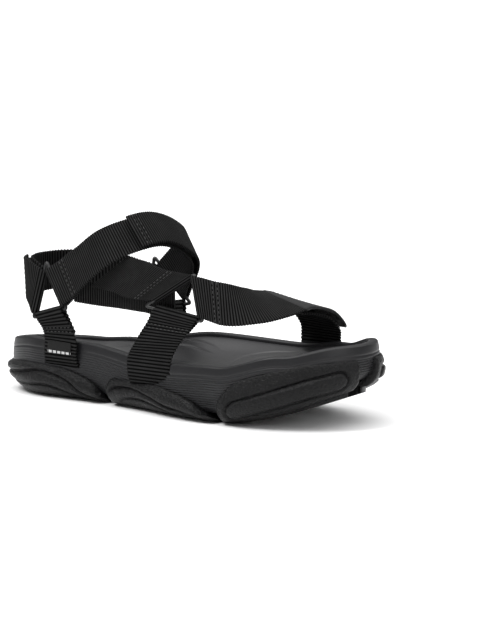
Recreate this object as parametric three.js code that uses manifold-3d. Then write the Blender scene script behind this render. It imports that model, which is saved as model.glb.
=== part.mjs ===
// Strappy sport sandal, right foot: EVA midsole and footbed, rubber outsole pods,
// webbing straps on triangle rings, and three hook-and-loop closures.
// Millimetres. +X points to the toe, +Y to the medial side, +Z up.
import * as THREE from 'three';
import { mergeVertices } from 'three/addons/utils/BufferGeometryUtils.js';
import Module from 'manifold-3d';

const wasm = await Module();
wasm.setup();

// Sole sizes.
const LENGTH = 282;
const HEEL_HALF_WIDTH = 34;
const WAIST_HALF_WIDTH = 34;
const BALL_HALF_WIDTH = 48;
const TREAD_DEPTH = 7;
const TOE_SPRING = 24;
const HEEL_RIM = 41;
const WAIST_RIM = 35;
const ARCH_RIM = 45;
const TOE_RIM = 54;
const RIM_WIDTH = 7;
const FOOTBED_THICKNESS = 6;
const FOOTBED_DROP = 2.5;
const POD_BULGE = 4;
const TREAD_CHANNEL = 12;

// Webbing, tape and ring sizes.
const WEBBING_WIDTH = 28;
const ANKLE_WIDTH = 25.5;
const MID_LOOP_WIDTH = 36;
const RISER_WIDTH = 32;
const TAB_WIDTH = 36;
const LINING_WIDTH = 16;
const WEBBING_THICKNESS = 2;
const TAPE_THICKNESS = 0.8;
const TAPE_MARGIN = 2;
const LABEL_MARGIN = 5;
const ROD_RADIUS = 1.2;
const GAP = 0.3;
const LAYER_GAP = 0.4;

// Heights above the floor that the straps reach.
const INSTEP_HEIGHT = 117;
const RING_HEIGHT = 77;
const HEEL_STRAP_HEIGHT = 81;
const FOREFOOT_HEIGHT = 72;

const EYE_RADIUS = ROD_RADIUS + GAP + WEBBING_THICKNESS;
const LAYER_STEP = WEBBING_THICKNESS + 2 * TAPE_THICKNESS + 3 * LAYER_GAP;
const HALF_STEPS = 36;
const STRAP_STEPS = 40;
const LATERAL = -1;
const MEDIAL = 1;

// ---------------------------------------------------------------- materials

const finish = (color, roughness) => new THREE.MeshStandardMaterial({ color, roughness, metalness: 0 });
const EVA = finish(0x1d1e20, 0.75);
const FOOTBED_FOAM = finish(0x2c2d30, 0.6);
const RUBBER = finish(0x17181a, 0.6);
const WEBBING = finish(0x121214, 0.9);
const HOOK_TAPE = finish(0x0c0c0d, 0.95);
const WOVEN_LABEL = finish(0x1a1a1c, 0.85);
const RING_PLASTIC = finish(0x0e0e10, 0.4);

// ------------------------------------------------------------ plain helpers

const station = (share) => (share - 0.5) * LENGTH;

// A smooth curve of height over station, through the given [station, height] pairs.
function heightCurve(pairs) {
  return (x) => {
    const share = x / LENGTH + 0.5;
    if (share <= pairs[0][0]) return pairs[0][1];
    for (let i = 1; i < pairs.length; i += 1) {
      const [s0, h0] = pairs[i - 1];
      const [s1, h1] = pairs[i];
      if (share <= s1) return h0 + (h1 - h0) * THREE.MathUtils.smoothstep(share, s0, s1);
    }
    return pairs[pairs.length - 1][1];
  };
}

function toSolid(geometry) {
  const plain = geometry.index ? geometry.toNonIndexed() : geometry.clone();
  plain.deleteAttribute('normal');
  plain.deleteAttribute('uv');
  const merged = mergeVertices(plain, 1e-4);
  const source = merged.index.array;
  const kept = [];
  for (let i = 0; i < source.length; i += 3) {
    const [a, b, c] = [source[i], source[i + 1], source[i + 2]];
    if (a !== b && b !== c && c !== a) kept.push(a, b, c);
  }
  return new wasm.Manifold(new wasm.Mesh({
    numProp: 3,
    vertProperties: new Float32Array(merged.attributes.position.array),
    triVerts: new Uint32Array(kept),
  }));
}

function toGeometry(solid) {
  const mesh = solid.getMesh();
  const geometry = new THREE.BufferGeometry();
  geometry.setAttribute('position', new THREE.BufferAttribute(mesh.vertProperties, 3));
  geometry.setIndex(new THREE.BufferAttribute(mesh.triVerts, 1));
  geometry.computeVertexNormals();
  return geometry;
}

// The biggest body of a solid, without the slivers that a cut leaves.
function largestBody(solid) {
  return solid.decompose().reduce((best, body) => (body.volume() > best.volume() ? body : best));
}

// Quads between rows of points; each row is one closed section or one open line.
function facesBetween(rows, closed, faces) {
  for (let i = 1; i < rows.length; i += 1) {
    const count = rows[i].length;
    for (let j = 0; j < (closed ? count : count - 1); j += 1) {
      const k = (j + 1) % count;
      faces.push([rows[i - 1][j], rows[i - 1][k], rows[i][k]], [rows[i - 1][j], rows[i][k], rows[i][j]]);
    }
  }
}

function solidFromFaces(faces) {
  let volume = 0;
  for (const [a, b, c] of faces) volume += a.dot(new THREE.Vector3().crossVectors(b, c));
  const positions = faces.flatMap(([a, b, c]) => (volume > 0 ? [a, b, c] : [a, c, b]))
    .flatMap((point) => point.toArray());
  const geometry = new THREE.BufferGeometry();
  geometry.setAttribute('position', new THREE.Float32BufferAttribute(positions, 3));
  return toSolid(geometry);
}

// --------------------------------------------------------------------- sole

// The outline seen from above, from the heel round the lateral side to the toe and back.
const outline = new THREE.CatmullRomCurve3([
  [0, 0],
  [0.025, -0.6 * HEEL_HALF_WIDTH], [0.12, -HEEL_HALF_WIDTH], [0.29, -WAIST_HALF_WIDTH],
  [0.44, -1.11 * WAIST_HALF_WIDTH], [0.58, -0.95 * BALL_HALF_WIDTH], [0.7, -BALL_HALF_WIDTH],
  [0.83, -0.92 * BALL_HALF_WIDTH], [0.93, -0.66 * BALL_HALF_WIDTH], [0.985, -0.25 * BALL_HALF_WIDTH],
  [1, 0.12 * BALL_HALF_WIDTH],
  [0.98, 0.52 * BALL_HALF_WIDTH], [0.91, 0.83 * BALL_HALF_WIDTH], [0.81, 0.98 * BALL_HALF_WIDTH],
  [0.69, BALL_HALF_WIDTH], [0.55, 0.83 * BALL_HALF_WIDTH], [0.42, 0.95 * WAIST_HALF_WIDTH],
  [0.29, 0.94 * WAIST_HALF_WIDTH], [0.12, HEEL_HALF_WIDTH], [0.025, 0.6 * HEEL_HALF_WIDTH],
].map(([share, y]) => new THREE.Vector3(station(share), y, 0)), true);

// A point of the outline at a share of the way from heel to toe on one side, moved out by a distance.
function outlinePoint(share, side, outward) {
  const t = side === LATERAL ? share / 2 : 1 - share / 2;
  const wrapped = (t + 1) % 1;
  const tangent = outline.getTangent(wrapped);
  const point = outline.getPoint(wrapped);
  return new THREE.Vector3(point.x + tangent.y * outward, point.y - tangent.x * outward, 0);
}

// The half width of the sole at a station, on one side.
function sideAt(x, side) {
  let best = outlinePoint(0.5, side, 0);
  for (let i = 0; i <= 200; i += 1) {
    const point = outlinePoint(i / 200, side, 0);
    if (Math.abs(point.x - x) < Math.abs(best.x - x)) best = point;
  }
  return best.y;
}

const lateralRim = heightCurve([[0, HEEL_RIM - 4], [0.12, HEEL_RIM], [0.28, HEEL_RIM],
  [0.5, WAIST_RIM], [0.7, WAIST_RIM + 3], [0.86, TOE_RIM - 6], [0.98, TOE_RIM]]);
const medialRim = heightCurve([[0, HEEL_RIM - 8], [0.15, HEEL_RIM - 8], [0.28, HEEL_RIM - 5],
  [0.5, ARCH_RIM], [0.72, ARCH_RIM - 3], [0.86, TOE_RIM - 8], [0.98, TOE_RIM]]);

function rimHeight(x, y) {
  const across = THREE.MathUtils.smoothstep(y, -HEEL_HALF_WIDTH, HEEL_HALF_WIDTH);
  return lateralRim(x) * (1 - across) + medialRim(x) * across;
}

function springHeight(x) {
  const toe = Math.max(0, x / LENGTH + 0.5 - 0.68) / 0.32;
  const heel = Math.max(0, 0.12 - (x / LENGTH + 0.5)) / 0.12;
  return TOE_SPRING * toe ** 1.6 + 5 * heel ** 2;
}

// A stack of outlines, each moved out by its own distance and lying on its own height surface.
function stack(layers, columns = 4) {
  const ring = (outward, height) => {
    const points = [];
    for (let i = 0; i < 2 * HALF_STEPS; i += 1) {
      const side = i < HALF_STEPS ? LATERAL : MEDIAL;
      const share = i < HALF_STEPS ? i / HALF_STEPS : 2 - i / HALF_STEPS;
      const point = outlinePoint(share, side, outward);
      point.z = height(point.x, point.y);
      points.push(point);
    }
    return points;
  };
  const faces = [];
  const rings = layers.map(([outward, height]) => ring(outward, height));
  facesBetween(rings, true, faces);
  const cap = (points, height, facingUp) => {
    const rows = [];
    for (let i = 0; i <= HALF_STEPS; i += 1) {
      const lateral = points[i];
      const medial = points[(2 * HALF_STEPS - i) % (2 * HALF_STEPS)];
      const row = [];
      for (let j = 0; j <= columns; j += 1) {
        const point = lateral.clone().lerp(medial, j / columns);
        if (j > 0 && j < columns) point.z = height(point.x, point.y);
        row.push(point);
      }
      rows.push(facingUp ? row.reverse() : row);
    }
    facesBetween(rows, false, faces);
  };
  cap(rings[0], layers[0][1], false);
  cap(rings[rings.length - 1], layers[layers.length - 1][1], true);
  return solidFromFaces(faces);
}

const blendHeights = (low, high, share) => (x, y) => low(x, y) * (1 - share) + high(x, y) * share;
const raised = (height, by) => (x, y) => height(x, y) + by;

function midsoleStack(grow) {
  const bottom = raised(springHeight, TREAD_DEPTH - grow);
  const top = raised(rimHeight, grow);
  return stack([[-5 + grow, bottom], [-1 + grow, blendHeights(bottom, top, 0.16)],
    [0.8 + grow, blendHeights(bottom, top, 0.5)], [0 + grow, blendHeights(bottom, top, 0.86)],
    [-1 + grow, top]]);
}

const footbedTop = raised(rimHeight, -FOOTBED_DROP);
const footbedUnder = raised(rimHeight, -FOOTBED_DROP - FOOTBED_THICKNESS);

function footbedLayers(grow) {
  return [[-RIM_WIDTH - 1 + grow, raised(footbedUnder, -grow)], [-RIM_WIDTH + grow, footbedTop]];
}

// A closed outline in the XZ plane, carried across the sole from one Y to another.
function sideBlock(points, fromY, toY) {
  const curve = new THREE.SplineCurve(points.map(([x, z]) => new THREE.Vector2(x, z)));
  const block = new THREE.ExtrudeGeometry(new THREE.Shape(curve.getPoints(points.length * 4)),
    { depth: toY - fromY, bevelEnabled: false });
  block.rotateX(Math.PI / 2);
  block.translate(0, toY, 0);
  return toSolid(block);
}

const BELOW = -6;
const POD_SIDES = {
  heel: [[station(-0.06), BELOW], [station(-0.06), 14], [station(0.01), 21], [station(0.12), 24],
    [station(0.2), 21], [station(0.28), 14], [station(0.335), 5], [station(0.34), BELOW]],
  mid: [[station(0.355), BELOW], [station(0.355), 10], [station(0.4), 20], [station(0.52), 18],
    [station(0.62), 14], [station(0.685), 5], [station(0.69), BELOW]],
  forefoot: [[station(0.71), BELOW], [station(0.705), 12], [station(0.76), 25], [station(0.88), 35],
    [station(0.97), 41], [station(1.06), 42], [station(1.08), BELOW]],
  forefootInner: [[station(0.71), BELOW], [station(0.705), 12], [station(0.76), 25], [station(0.84), 32],
    [station(0.89), 34], [station(0.905), 26], [station(0.905), BELOW]],
  toe: [[station(0.92), BELOW], [station(0.92), 30], [station(0.95), 39], [station(1.06), 40],
    [station(1.08), BELOW]],
};

function pod(sides, fromY, toY, cutters) {
  const envelope = stack([[-8, springHeight], [-2, raised(springHeight, 2.5)],
    [POD_BULGE - 1, raised(springHeight, 8)], [POD_BULGE, raised(springHeight, 14)],
    [POD_BULGE - 1, raised(springHeight, 21)], [1, raised(springHeight, 32)]], 2);
  const block = sideBlock(sides, fromY, toY);
  const shaped = cutters.reduce((solid, cutter) => solid.subtract(cutter), envelope.intersect(block));
  return largestBody(shaped);
}

// ------------------------------------------------------------------- straps

// One place along a strap: its middle, the direction of its width, and its width there.
const place = (at, across, width = WEBBING_WIDTH) => ({
  at: new THREE.Vector3(...at),
  across: new THREE.Vector3(...across).normalize(),
  width,
});

class Strap {
  constructor(places) {
    for (let i = 1; i < places.length; i += 1) {
      if (places[i].across.dot(places[i - 1].across) < 0) places[i].across.negate();
    }
    this.middle = new THREE.CatmullRomCurve3(places.map((item) => item.at), false, 'centripetal');
    this.across = new THREE.CatmullRomCurve3(places.map((item) => item.across), false, 'centripetal');
    this.widths = places.map((item) => item.width);
    this.spans = places.length - 1;
  }

  // Point, width direction, outward direction and width at t from 0 to 1, lifted outwards.
  frame(t, lift = 0) {
    const point = this.middle.getPoint(t);
    const across = this.across.getPoint(t).normalize();
    const outward = new THREE.Vector3().crossVectors(this.middle.getTangent(t), across).normalize();
    const core = new THREE.Vector3(THREE.MathUtils.clamp(point.x, station(0.25), station(0.77)), 0, ARCH_RIM);
    if (outward.dot(point.clone().sub(core)) < 0) outward.negate();
    const slot = Math.min(Math.floor(t * this.spans), this.spans - 1);
    const width = THREE.MathUtils.lerp(this.widths[slot], this.widths[slot + 1], t * this.spans - slot);
    return { point: point.addScaledVector(outward, lift), across, outward, width };
  }

  // Where the sections lie: every layer of a strap shares them, so that layers stay apart.
  stops(from, to) {
    const first = Math.round(from * STRAP_STEPS);
    const last = Math.round(to * STRAP_STEPS);
    return Array.from({ length: last - first + 1 }, (_, i) => (first + i) / STRAP_STEPS);
  }

  // A solid layer of the strap between two shares of its length.
  layer({ from = 0, to = 1, lift = 0, thickness = WEBBING_THICKNESS, widen = 0 } = {}) {
    const rows = [];
    for (const t of this.stops(from, to)) {
      const { point, across, outward, width } = this.frame(t, lift);
      const half = across.clone().multiplyScalar(width / 2 + widen);
      const skin = outward.clone().multiplyScalar(thickness / 2);
      rows.push([point.clone().add(half).add(skin), point.clone().sub(half).add(skin),
        point.clone().sub(half).sub(skin), point.clone().add(half).sub(skin)]);
    }
    const faces = [];
    facesBetween(rows, true, faces);
    const first = rows[0];
    const last = rows[rows.length - 1];
    faces.push([first[0], first[2], first[1]], [first[0], first[3], first[2]]);
    faces.push([last[0], last[1], last[2]], [last[0], last[2], last[3]]);
    return solidFromFaces(faces);
  }
}

// A round bar between two points.
function bar(from, to, radius, sides = 12) {
  const line = new THREE.Vector3().subVectors(to, from);
  const cylinder = new THREE.CylinderGeometry(radius, radius, line.length(), sides);
  const upright = new THREE.Vector3(0, 1, 0);
  const turn = new THREE.Quaternion().setFromUnitVectors(upright, line.clone().normalize());
  cylinder.applyQuaternion(turn);
  cylinder.translate(...from.clone().lerp(to, 0.5).toArray());
  return toSolid(cylinder);
}

// A closed ring of round bars with a ball at each corner.
class Ring {
  constructor(corners) {
    this.corners = corners.map((corner) => new THREE.Vector3(...corner));
  }

  ends(index) {
    return [this.corners[index], this.corners[(index + 1) % this.corners.length]];
  }

  along(index) {
    const [from, to] = this.ends(index);
    return new THREE.Vector3().subVectors(to, from).normalize();
  }

  // How far an eye has to stay from a corner so that it clears the next side's eye.
  cornerRoom(index) {
    const next = this.along(index);
    const before = this.along((index + this.corners.length - 1) % this.corners.length).negate();
    return (EYE_RADIUS + GAP) / Math.tan(next.angleTo(before) / 2);
  }

  solid() {
    const sides = this.corners.map((_, i) => bar(...this.ends(i), ROD_RADIUS, 8));
    const balls = this.corners.map((corner) => {
      const ball = new THREE.SphereGeometry(ROD_RADIUS, 8, 6);
      ball.translate(...corner.toArray());
      return toSolid(ball);
    });
    return [...sides, ...balls].reduce((sum, piece) => sum.add(piece));
  }

  // Where the folded end of a strap starts and stops along one side of the ring.
  eyeEnds(index) {
    const [from, to] = this.ends(index);
    const line = this.along(index);
    const start = from.clone().addScaledVector(line, this.cornerRoom(index));
    const end = to.clone().addScaledVector(line, -this.cornerRoom((index + 1) % this.corners.length));
    return { start, end };
  }

  // The round body of that folded end.
  eye(index, radius) {
    const { start, end } = this.eyeEnds(index);
    return bar(start, end, radius);
  }

  eyeWidth(index) {
    const { start, end } = this.eyeEnds(index);
    return start.distanceTo(end);
  }

  eyeMiddle(index) {
    const { start, end } = this.eyeEnds(index);
    return start.lerp(end, 0.5);
  }

  // The direction square to the ring's plane, away from the foot.
  outward() {
    const square = new THREE.Vector3().crossVectors(this.along(0), this.along(1)).normalize();
    return square.y * this.corners[0].y < 0 ? square.negate() : square;
  }

  wrap(solid, index) {
    const [from, to] = this.ends(index);
    return solid.add(this.eye(index, EYE_RADIUS)).subtract(bar(from, to, ROD_RADIUS + GAP));
  }

  // Room that a strap next to this ring leaves free.
  clearance(index) {
    return this.eye(index, EYE_RADIUS + GAP);
  }
}

// Rings: triangle corners in the order top, lower front, lower back, seen from outside.
const heelRing = new Ring([
  [station(0.17), -33.5, RING_HEIGHT + 17], [station(0.245), -38.5, RING_HEIGHT - 13],
  [station(0.137), -37, RING_HEIGHT - 22],
]);
const frontRing = new Ring([
  [station(0.622), -38.5, RING_HEIGHT + 18.5], [station(0.655), -43, RING_HEIGHT - 11],
  [station(0.49), -41.5, RING_HEIGHT - 5],
]);
const medialRing = new Ring([
  [station(0.312), 35.5, RING_HEIGHT + 16], [station(0.415), 38.5, RING_HEIGHT - 15],
  [station(0.295), 37, RING_HEIGHT - 20],
]);
const FRONT_SIDE = 0;
const LOWER_SIDE = 1;
const BACK_SIDE = 2;

const barPlace = (ring, index, inward = 0) => place(
  ring.eyeMiddle(index).addScaledVector(ring.outward(), -inward).toArray(),
  ring.along(index).toArray(), ring.eyeWidth(index));

// Each riser starts in its slot in the sole wall and climbs outside the rim.
function riserPlaces(share, side, slotHeight, width) {
  const x = station(share);
  const wall = sideAt(x, side) + side * (WEBBING_THICKNESS / 2 + GAP + 1);
  const rim = rimHeight(x, side * HEEL_HALF_WIDTH);
  return [
    place([x, wall - side * 9, slotHeight - 3], [1, 0, 0], width),
    place([x, wall - side * 2.5, slotHeight - 0.5], [1, 0, 0], width),
    place([x, wall, slotHeight + 5], [1, 0, 0], width),
    place([x, wall, rim + 2], [1, 0, 0], width),
  ];
}

const heelLoop = new Strap([
  ...riserPlaces(0.219, LATERAL, 25, WEBBING_WIDTH),
  barPlace(heelRing, LOWER_SIDE),
]);
const midLoop = new Strap([
  ...riserPlaces(0.503, LATERAL, 21, MID_LOOP_WIDTH),
  place([station(0.535), -43.5, 52], [1, 0, 0], MID_LOOP_WIDTH),
  barPlace(frontRing, LOWER_SIDE),
]);
const archRiser = new Strap([
  ...riserPlaces(0.362, MEDIAL, 24, WEBBING_WIDTH),
  barPlace(medialRing, LOWER_SIDE),
]);
const forefootRiser = new Strap([
  ...riserPlaces(0.766, MEDIAL, 30, RISER_WIDTH),
  place([station(0.773), 46.5, FOREFOOT_HEIGHT - 18], [-1, 0, 0.05], RISER_WIDTH),
  place([station(0.763), 39, FOREFOOT_HEIGHT - 9], [-1, 0, 0.1], RISER_WIDTH),
  place([station(0.75), 26, FOREFOOT_HEIGHT - 3.5], [-1, -0.05, 0.2], RISER_WIDTH),
  place([station(0.743), 13, FOREFOOT_HEIGHT - 1], [-1, -0.05, 0.25], RISER_WIDTH),
]);

const ankleStrap = new Strap([
  barPlace(heelRing, FRONT_SIDE),
  place([station(0.295), -37.2, INSTEP_HEIGHT - 21], [-0.5, 0.1, 0.86], ANKLE_WIDTH),
  place([station(0.352), -34.5, INSTEP_HEIGHT - 9], [-0.56, 0.1, 0.8], ANKLE_WIDTH),
  place([station(0.398), -23.5, INSTEP_HEIGHT - 2], [-0.62, 0.1, 0.76], ANKLE_WIDTH),
  place([station(0.424), -6, INSTEP_HEIGHT], [-0.64, 0.05, 0.77], ANKLE_WIDTH),
  place([station(0.437), 12, INSTEP_HEIGHT - 6.5], [-0.6, 0.1, 0.8], ANKLE_WIDTH),
  place([station(0.427), 28, INSTEP_HEIGHT - 17.5], [-0.55, 0.1, 0.83], ANKLE_WIDTH),
  barPlace(medialRing, FRONT_SIDE, LAYER_STEP / 2),
]);
const heelStrap = new Strap([
  barPlace(medialRing, BACK_SIDE),
  place([station(0.206), 37, HEEL_STRAP_HEIGHT - 2], [0, 0, 1]),
  place([station(0.129), 29, HEEL_STRAP_HEIGHT], [0, 0, 1]),
  place([station(0.085), 14, HEEL_STRAP_HEIGHT + 1], [0, 0, 1]),
  place([station(0.072), -2, HEEL_STRAP_HEIGHT + 1], [0, 0, 1]),
  place([station(0.085), -17, HEEL_STRAP_HEIGHT + 1], [0, 0, 1]),
  place([station(0.113), -28, HEEL_STRAP_HEIGHT], [0, 0, 1]),
  barPlace(heelRing, BACK_SIDE, LAYER_STEP / 2),
]);
const sideBand = new Strap([
  place([station(0.345), -28.8, 90], [0.79, 0.07, 0.6], 36),
  place([station(0.41), -31.8, 89], [0.79, 0, 0.6], 38),
  place([station(0.475), -36.4, 86], [0.79, 0, 0.6], 36),
  barPlace(frontRing, BACK_SIDE),
]);
const liningBand = new Strap([
  place([station(0.252), -33, 76], [0, 0, 1], LINING_WIDTH),
  place([station(0.3), -27.2, 74], [0, 0, 1], LINING_WIDTH),
  place([station(0.37), -26.4, 73.5], [0, 0, 1], LINING_WIDTH),
  place([station(0.46), -31.2, 73.5], [0, 0, 1], LINING_WIDTH),
  place([station(0.555), -34.8, 73.5], [0, 0, 1], LINING_WIDTH + 4),
]);

// The pull tab lies over the riser, and the forefoot strap runs into the tab's top end.
const TAB_TOP = 0.95;
const TAB_END = 0.55;
const tabTop = forefootRiser.frame(TAB_TOP, LAYER_STEP);
tabTop.point.addScaledVector(forefootRiser.middle.getTangent(TAB_TOP), GAP);
const forefootStrap = new Strap([
  barPlace(frontRing, FRONT_SIDE),
  place([station(0.695), -38.5, FOREFOOT_HEIGHT + 6], [-0.25, 0.25, 0.92], 29),
  place([station(0.735), -24, FOREFOOT_HEIGHT + 4], [-0.6, 0.32, 0.7], 30),
  place([station(0.747), -5, FOREFOOT_HEIGHT + 3], [-0.86, 0.12, 0.45], 33),
  place(tabTop.point.toArray(), tabTop.across.toArray(), TAB_WIDTH),
]);

// --------------------------------------------------------------- assembly

const sandal = new THREE.Group();

function add(name, material, solid) {
  const mesh = new THREE.Mesh(toGeometry(solid), material);
  mesh.name = name;
  sandal.add(mesh);
}

// The slots that the risers enter, with room for the webbing.
const slotCuts = [heelLoop, midLoop, archRiser, forefootRiser].map(
  (strap) => strap.layer({ to: 0.75, thickness: WEBBING_THICKNESS + 2 * GAP, widen: GAP }));
const withoutSlots = (solid) => slotCuts.reduce((rest, cut) => rest.subtract(cut), solid);

function addSole() {
  const recess = stack([...footbedLayers(GAP), [-RIM_WIDTH + GAP, raised(footbedTop, TOE_RIM)]]);
  add('midsole', EVA, withoutSlots(midsoleStack(0).subtract(recess)));
  add('footbed', FOOTBED_FOAM, stack(footbedLayers(0)));
  const core = midsoleStack(GAP);
  const cutters = [core, ...slotCuts];
  const reach = BALL_HALF_WIDTH + 20;
  const channel = TREAD_CHANNEL / 2;
  add('outsole_heel', RUBBER, pod(POD_SIDES.heel, -reach, reach, cutters));
  add('outsole_mid_lateral', RUBBER, pod(POD_SIDES.mid, -reach, -channel, cutters));
  add('outsole_mid_medial', RUBBER, pod(POD_SIDES.mid, channel, reach, cutters));
  add('outsole_forefoot_lateral', RUBBER, pod(POD_SIDES.forefoot, -reach, -channel, cutters));
  add('outsole_forefoot_medial', RUBBER, pod(POD_SIDES.forefootInner, channel, reach, cutters));
  add('outsole_toe', RUBBER, pod(POD_SIDES.toe, channel, reach, cutters));
}

function addRings() {
  add('ring_heel_lateral', RING_PLASTIC, heelRing.solid());
  add('ring_front_lateral', RING_PLASTIC, frontRing.solid());
  add('ring_medial', RING_PLASTIC, medialRing.solid());
}

// The two tapes of a closure, between the carrying strap and the flap over it.
function addTapes(name, strap, from, to) {
  const loopLift = (WEBBING_THICKNESS + TAPE_THICKNESS) / 2 + LAYER_GAP;
  const shape = { from, to, thickness: TAPE_THICKNESS, widen: -TAPE_MARGIN };
  add(`${name}_loop_tape`, HOOK_TAPE, strap.layer({ ...shape, lift: loopLift }));
  add(`${name}_hook_tape`, HOOK_TAPE, strap.layer({ ...shape, lift: loopLift + TAPE_THICKNESS + LAYER_GAP }));
}

function addLoops() {
  add('heel_loop_lateral', WEBBING, heelRing.wrap(heelLoop.layer(), LOWER_SIDE));
  const label = { from: 0.55, to: 0.72, widen: -LABEL_MARGIN, thickness: TAPE_THICKNESS };
  const labelLift = (WEBBING_THICKNESS + TAPE_THICKNESS) / 2 + GAP;
  add('woven_label', WOVEN_LABEL, heelLoop.layer({ ...label, lift: labelLift }));
  add('mid_loop_lateral', WEBBING, frontRing.wrap(midLoop.layer(), LOWER_SIDE));
  add('arch_riser_medial', WEBBING, medialRing.wrap(archRiser.layer(), LOWER_SIDE));
  add('forefoot_riser_medial', WEBBING, forefootRiser.layer());
}

function addStraps() {
  const beforeEye = (strap, ring, side) => strap.subtract(ring.clearance(side));
  add('ankle_strap', WEBBING,
    beforeEye(heelRing.wrap(ankleStrap.layer(), FRONT_SIDE), medialRing, FRONT_SIDE));
  add('heel_strap', WEBBING,
    beforeEye(medialRing.wrap(heelStrap.layer(), BACK_SIDE), heelRing, BACK_SIDE));
  add('side_band', WEBBING, frontRing.wrap(sideBand.layer(), BACK_SIDE));
  add('side_band_lining', WEBBING, liningBand.layer());
  add('forefoot_strap', WEBBING, frontRing.wrap(forefootStrap.layer(), FRONT_SIDE));
}

function addClosures() {
  addTapes('ankle', ankleStrap, 0.48, 0.8);
  addTapes('heel', heelStrap, 0.74, 0.9);
  addTapes('forefoot', forefootRiser, 0.6, 0.85);
  add('ankle_flap', WEBBING,
    medialRing.wrap(ankleStrap.layer({ from: 0.44, lift: LAYER_STEP }), FRONT_SIDE));
  add('heel_flap', WEBBING,
    heelRing.wrap(heelStrap.layer({ from: 0.72, lift: LAYER_STEP }), BACK_SIDE));
  add('forefoot_tab', WEBBING, forefootRiser.layer({
    from: TAB_END, to: TAB_TOP, lift: LAYER_STEP, widen: (TAB_WIDTH - RISER_WIDTH) / 2,
  }));
}

addSole();
addRings();
addLoops();
addStraps();
addClosures();

// The model's frame: the middle of its box in plan, with the floor at zero.
const box = new THREE.Box3().setFromObject(sandal);
const middle = box.getCenter(new THREE.Vector3());
sandal.position.set(-middle.x, -middle.y, -box.min.z);

export default sandal;
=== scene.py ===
"""Looks of a strappy sport sandal for the right foot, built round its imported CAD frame.

Sizes are in millimetres and turned to metres where a mesh is made. +X points to the toe, +Y to
the medial side and +Z up, as in the frame.
"""
import logging
import math
from dataclasses import dataclass, field
from enum import Enum
from typing import Any, Callable, Optional, Sequence

import bpy
import numpy as np
from mathutils import Matrix, Vector


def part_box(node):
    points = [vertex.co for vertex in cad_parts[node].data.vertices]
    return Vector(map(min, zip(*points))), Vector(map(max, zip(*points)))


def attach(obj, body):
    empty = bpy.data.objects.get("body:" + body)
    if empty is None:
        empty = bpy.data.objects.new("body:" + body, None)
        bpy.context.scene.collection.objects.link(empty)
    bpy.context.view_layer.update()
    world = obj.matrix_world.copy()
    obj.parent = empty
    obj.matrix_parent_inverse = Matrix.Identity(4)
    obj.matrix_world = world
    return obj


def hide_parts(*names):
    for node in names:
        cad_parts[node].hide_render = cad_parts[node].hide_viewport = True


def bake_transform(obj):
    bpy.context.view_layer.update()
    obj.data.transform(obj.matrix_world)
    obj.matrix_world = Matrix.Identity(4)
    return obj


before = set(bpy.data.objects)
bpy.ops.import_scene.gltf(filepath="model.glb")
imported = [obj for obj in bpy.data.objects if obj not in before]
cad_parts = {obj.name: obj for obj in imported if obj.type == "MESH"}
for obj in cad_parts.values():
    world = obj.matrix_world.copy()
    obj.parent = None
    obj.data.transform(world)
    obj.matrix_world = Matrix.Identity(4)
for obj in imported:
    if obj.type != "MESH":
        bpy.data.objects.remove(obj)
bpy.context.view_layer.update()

log = logging.getLogger("sandal")
MM = 0.001
SEED = 11
PIECE = "_piece"

Array = np.ndarray
Pair = tuple[float, float]


class Side(Enum):
    """The two long sides of the right foot."""

    LATERAL = -1
    MEDIAL = 1


class Body(Enum):
    """The rigid bodies of the frame."""

    SANDAL = "sandal"
    ANKLE = "ankle_closure"
    HEEL = "heel_closure"
    FOREFOOT = "forefoot_closure"


class Slot(Enum):
    """The record's material slots."""

    EVA = "eva_foam"
    FOOTBED = "footbed_foam"
    RUBBER = "outsole_rubber"
    WEBBING = "webbing"
    TAB = "tab_webbing"
    LABEL = "label"
    TAPE = "hook_loop_tape"
    RING = "ring_plastic"


# ------------------------------------------------------------------ numbers


def smoothstep(x: Array, low: float, high: float) -> Array:
    """Rises smoothly from 0 at low to 1 at high."""
    share = np.clip((np.asarray(x, float) - low) / (high - low), 0, 1)
    return share * share * (3 - 2 * share)


def unit(vectors: Array) -> Array:
    """Vectors scaled to length 1."""
    return vectors / np.maximum(np.linalg.norm(vectors, axis=-1, keepdims=True), 1e-12)


def step_curve(pairs: Sequence[Pair]) -> Callable[[Array], Array]:
    """A smooth height over share of the length.

    Args:
        pairs: (share, height) points, joined by smooth steps.

    Returns:
        A function from share to height.
    """

    def height(share: Array) -> Array:
        """The height at each share."""
        share = np.asarray(share, float)
        total = np.full(share.shape, float(pairs[0][1]))
        for (s0, h0), (s1, h1) in zip(pairs, pairs[1:]):
            total = total + (h1 - h0) * smoothstep(share, s0, s1)
        return total

    return height


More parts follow.
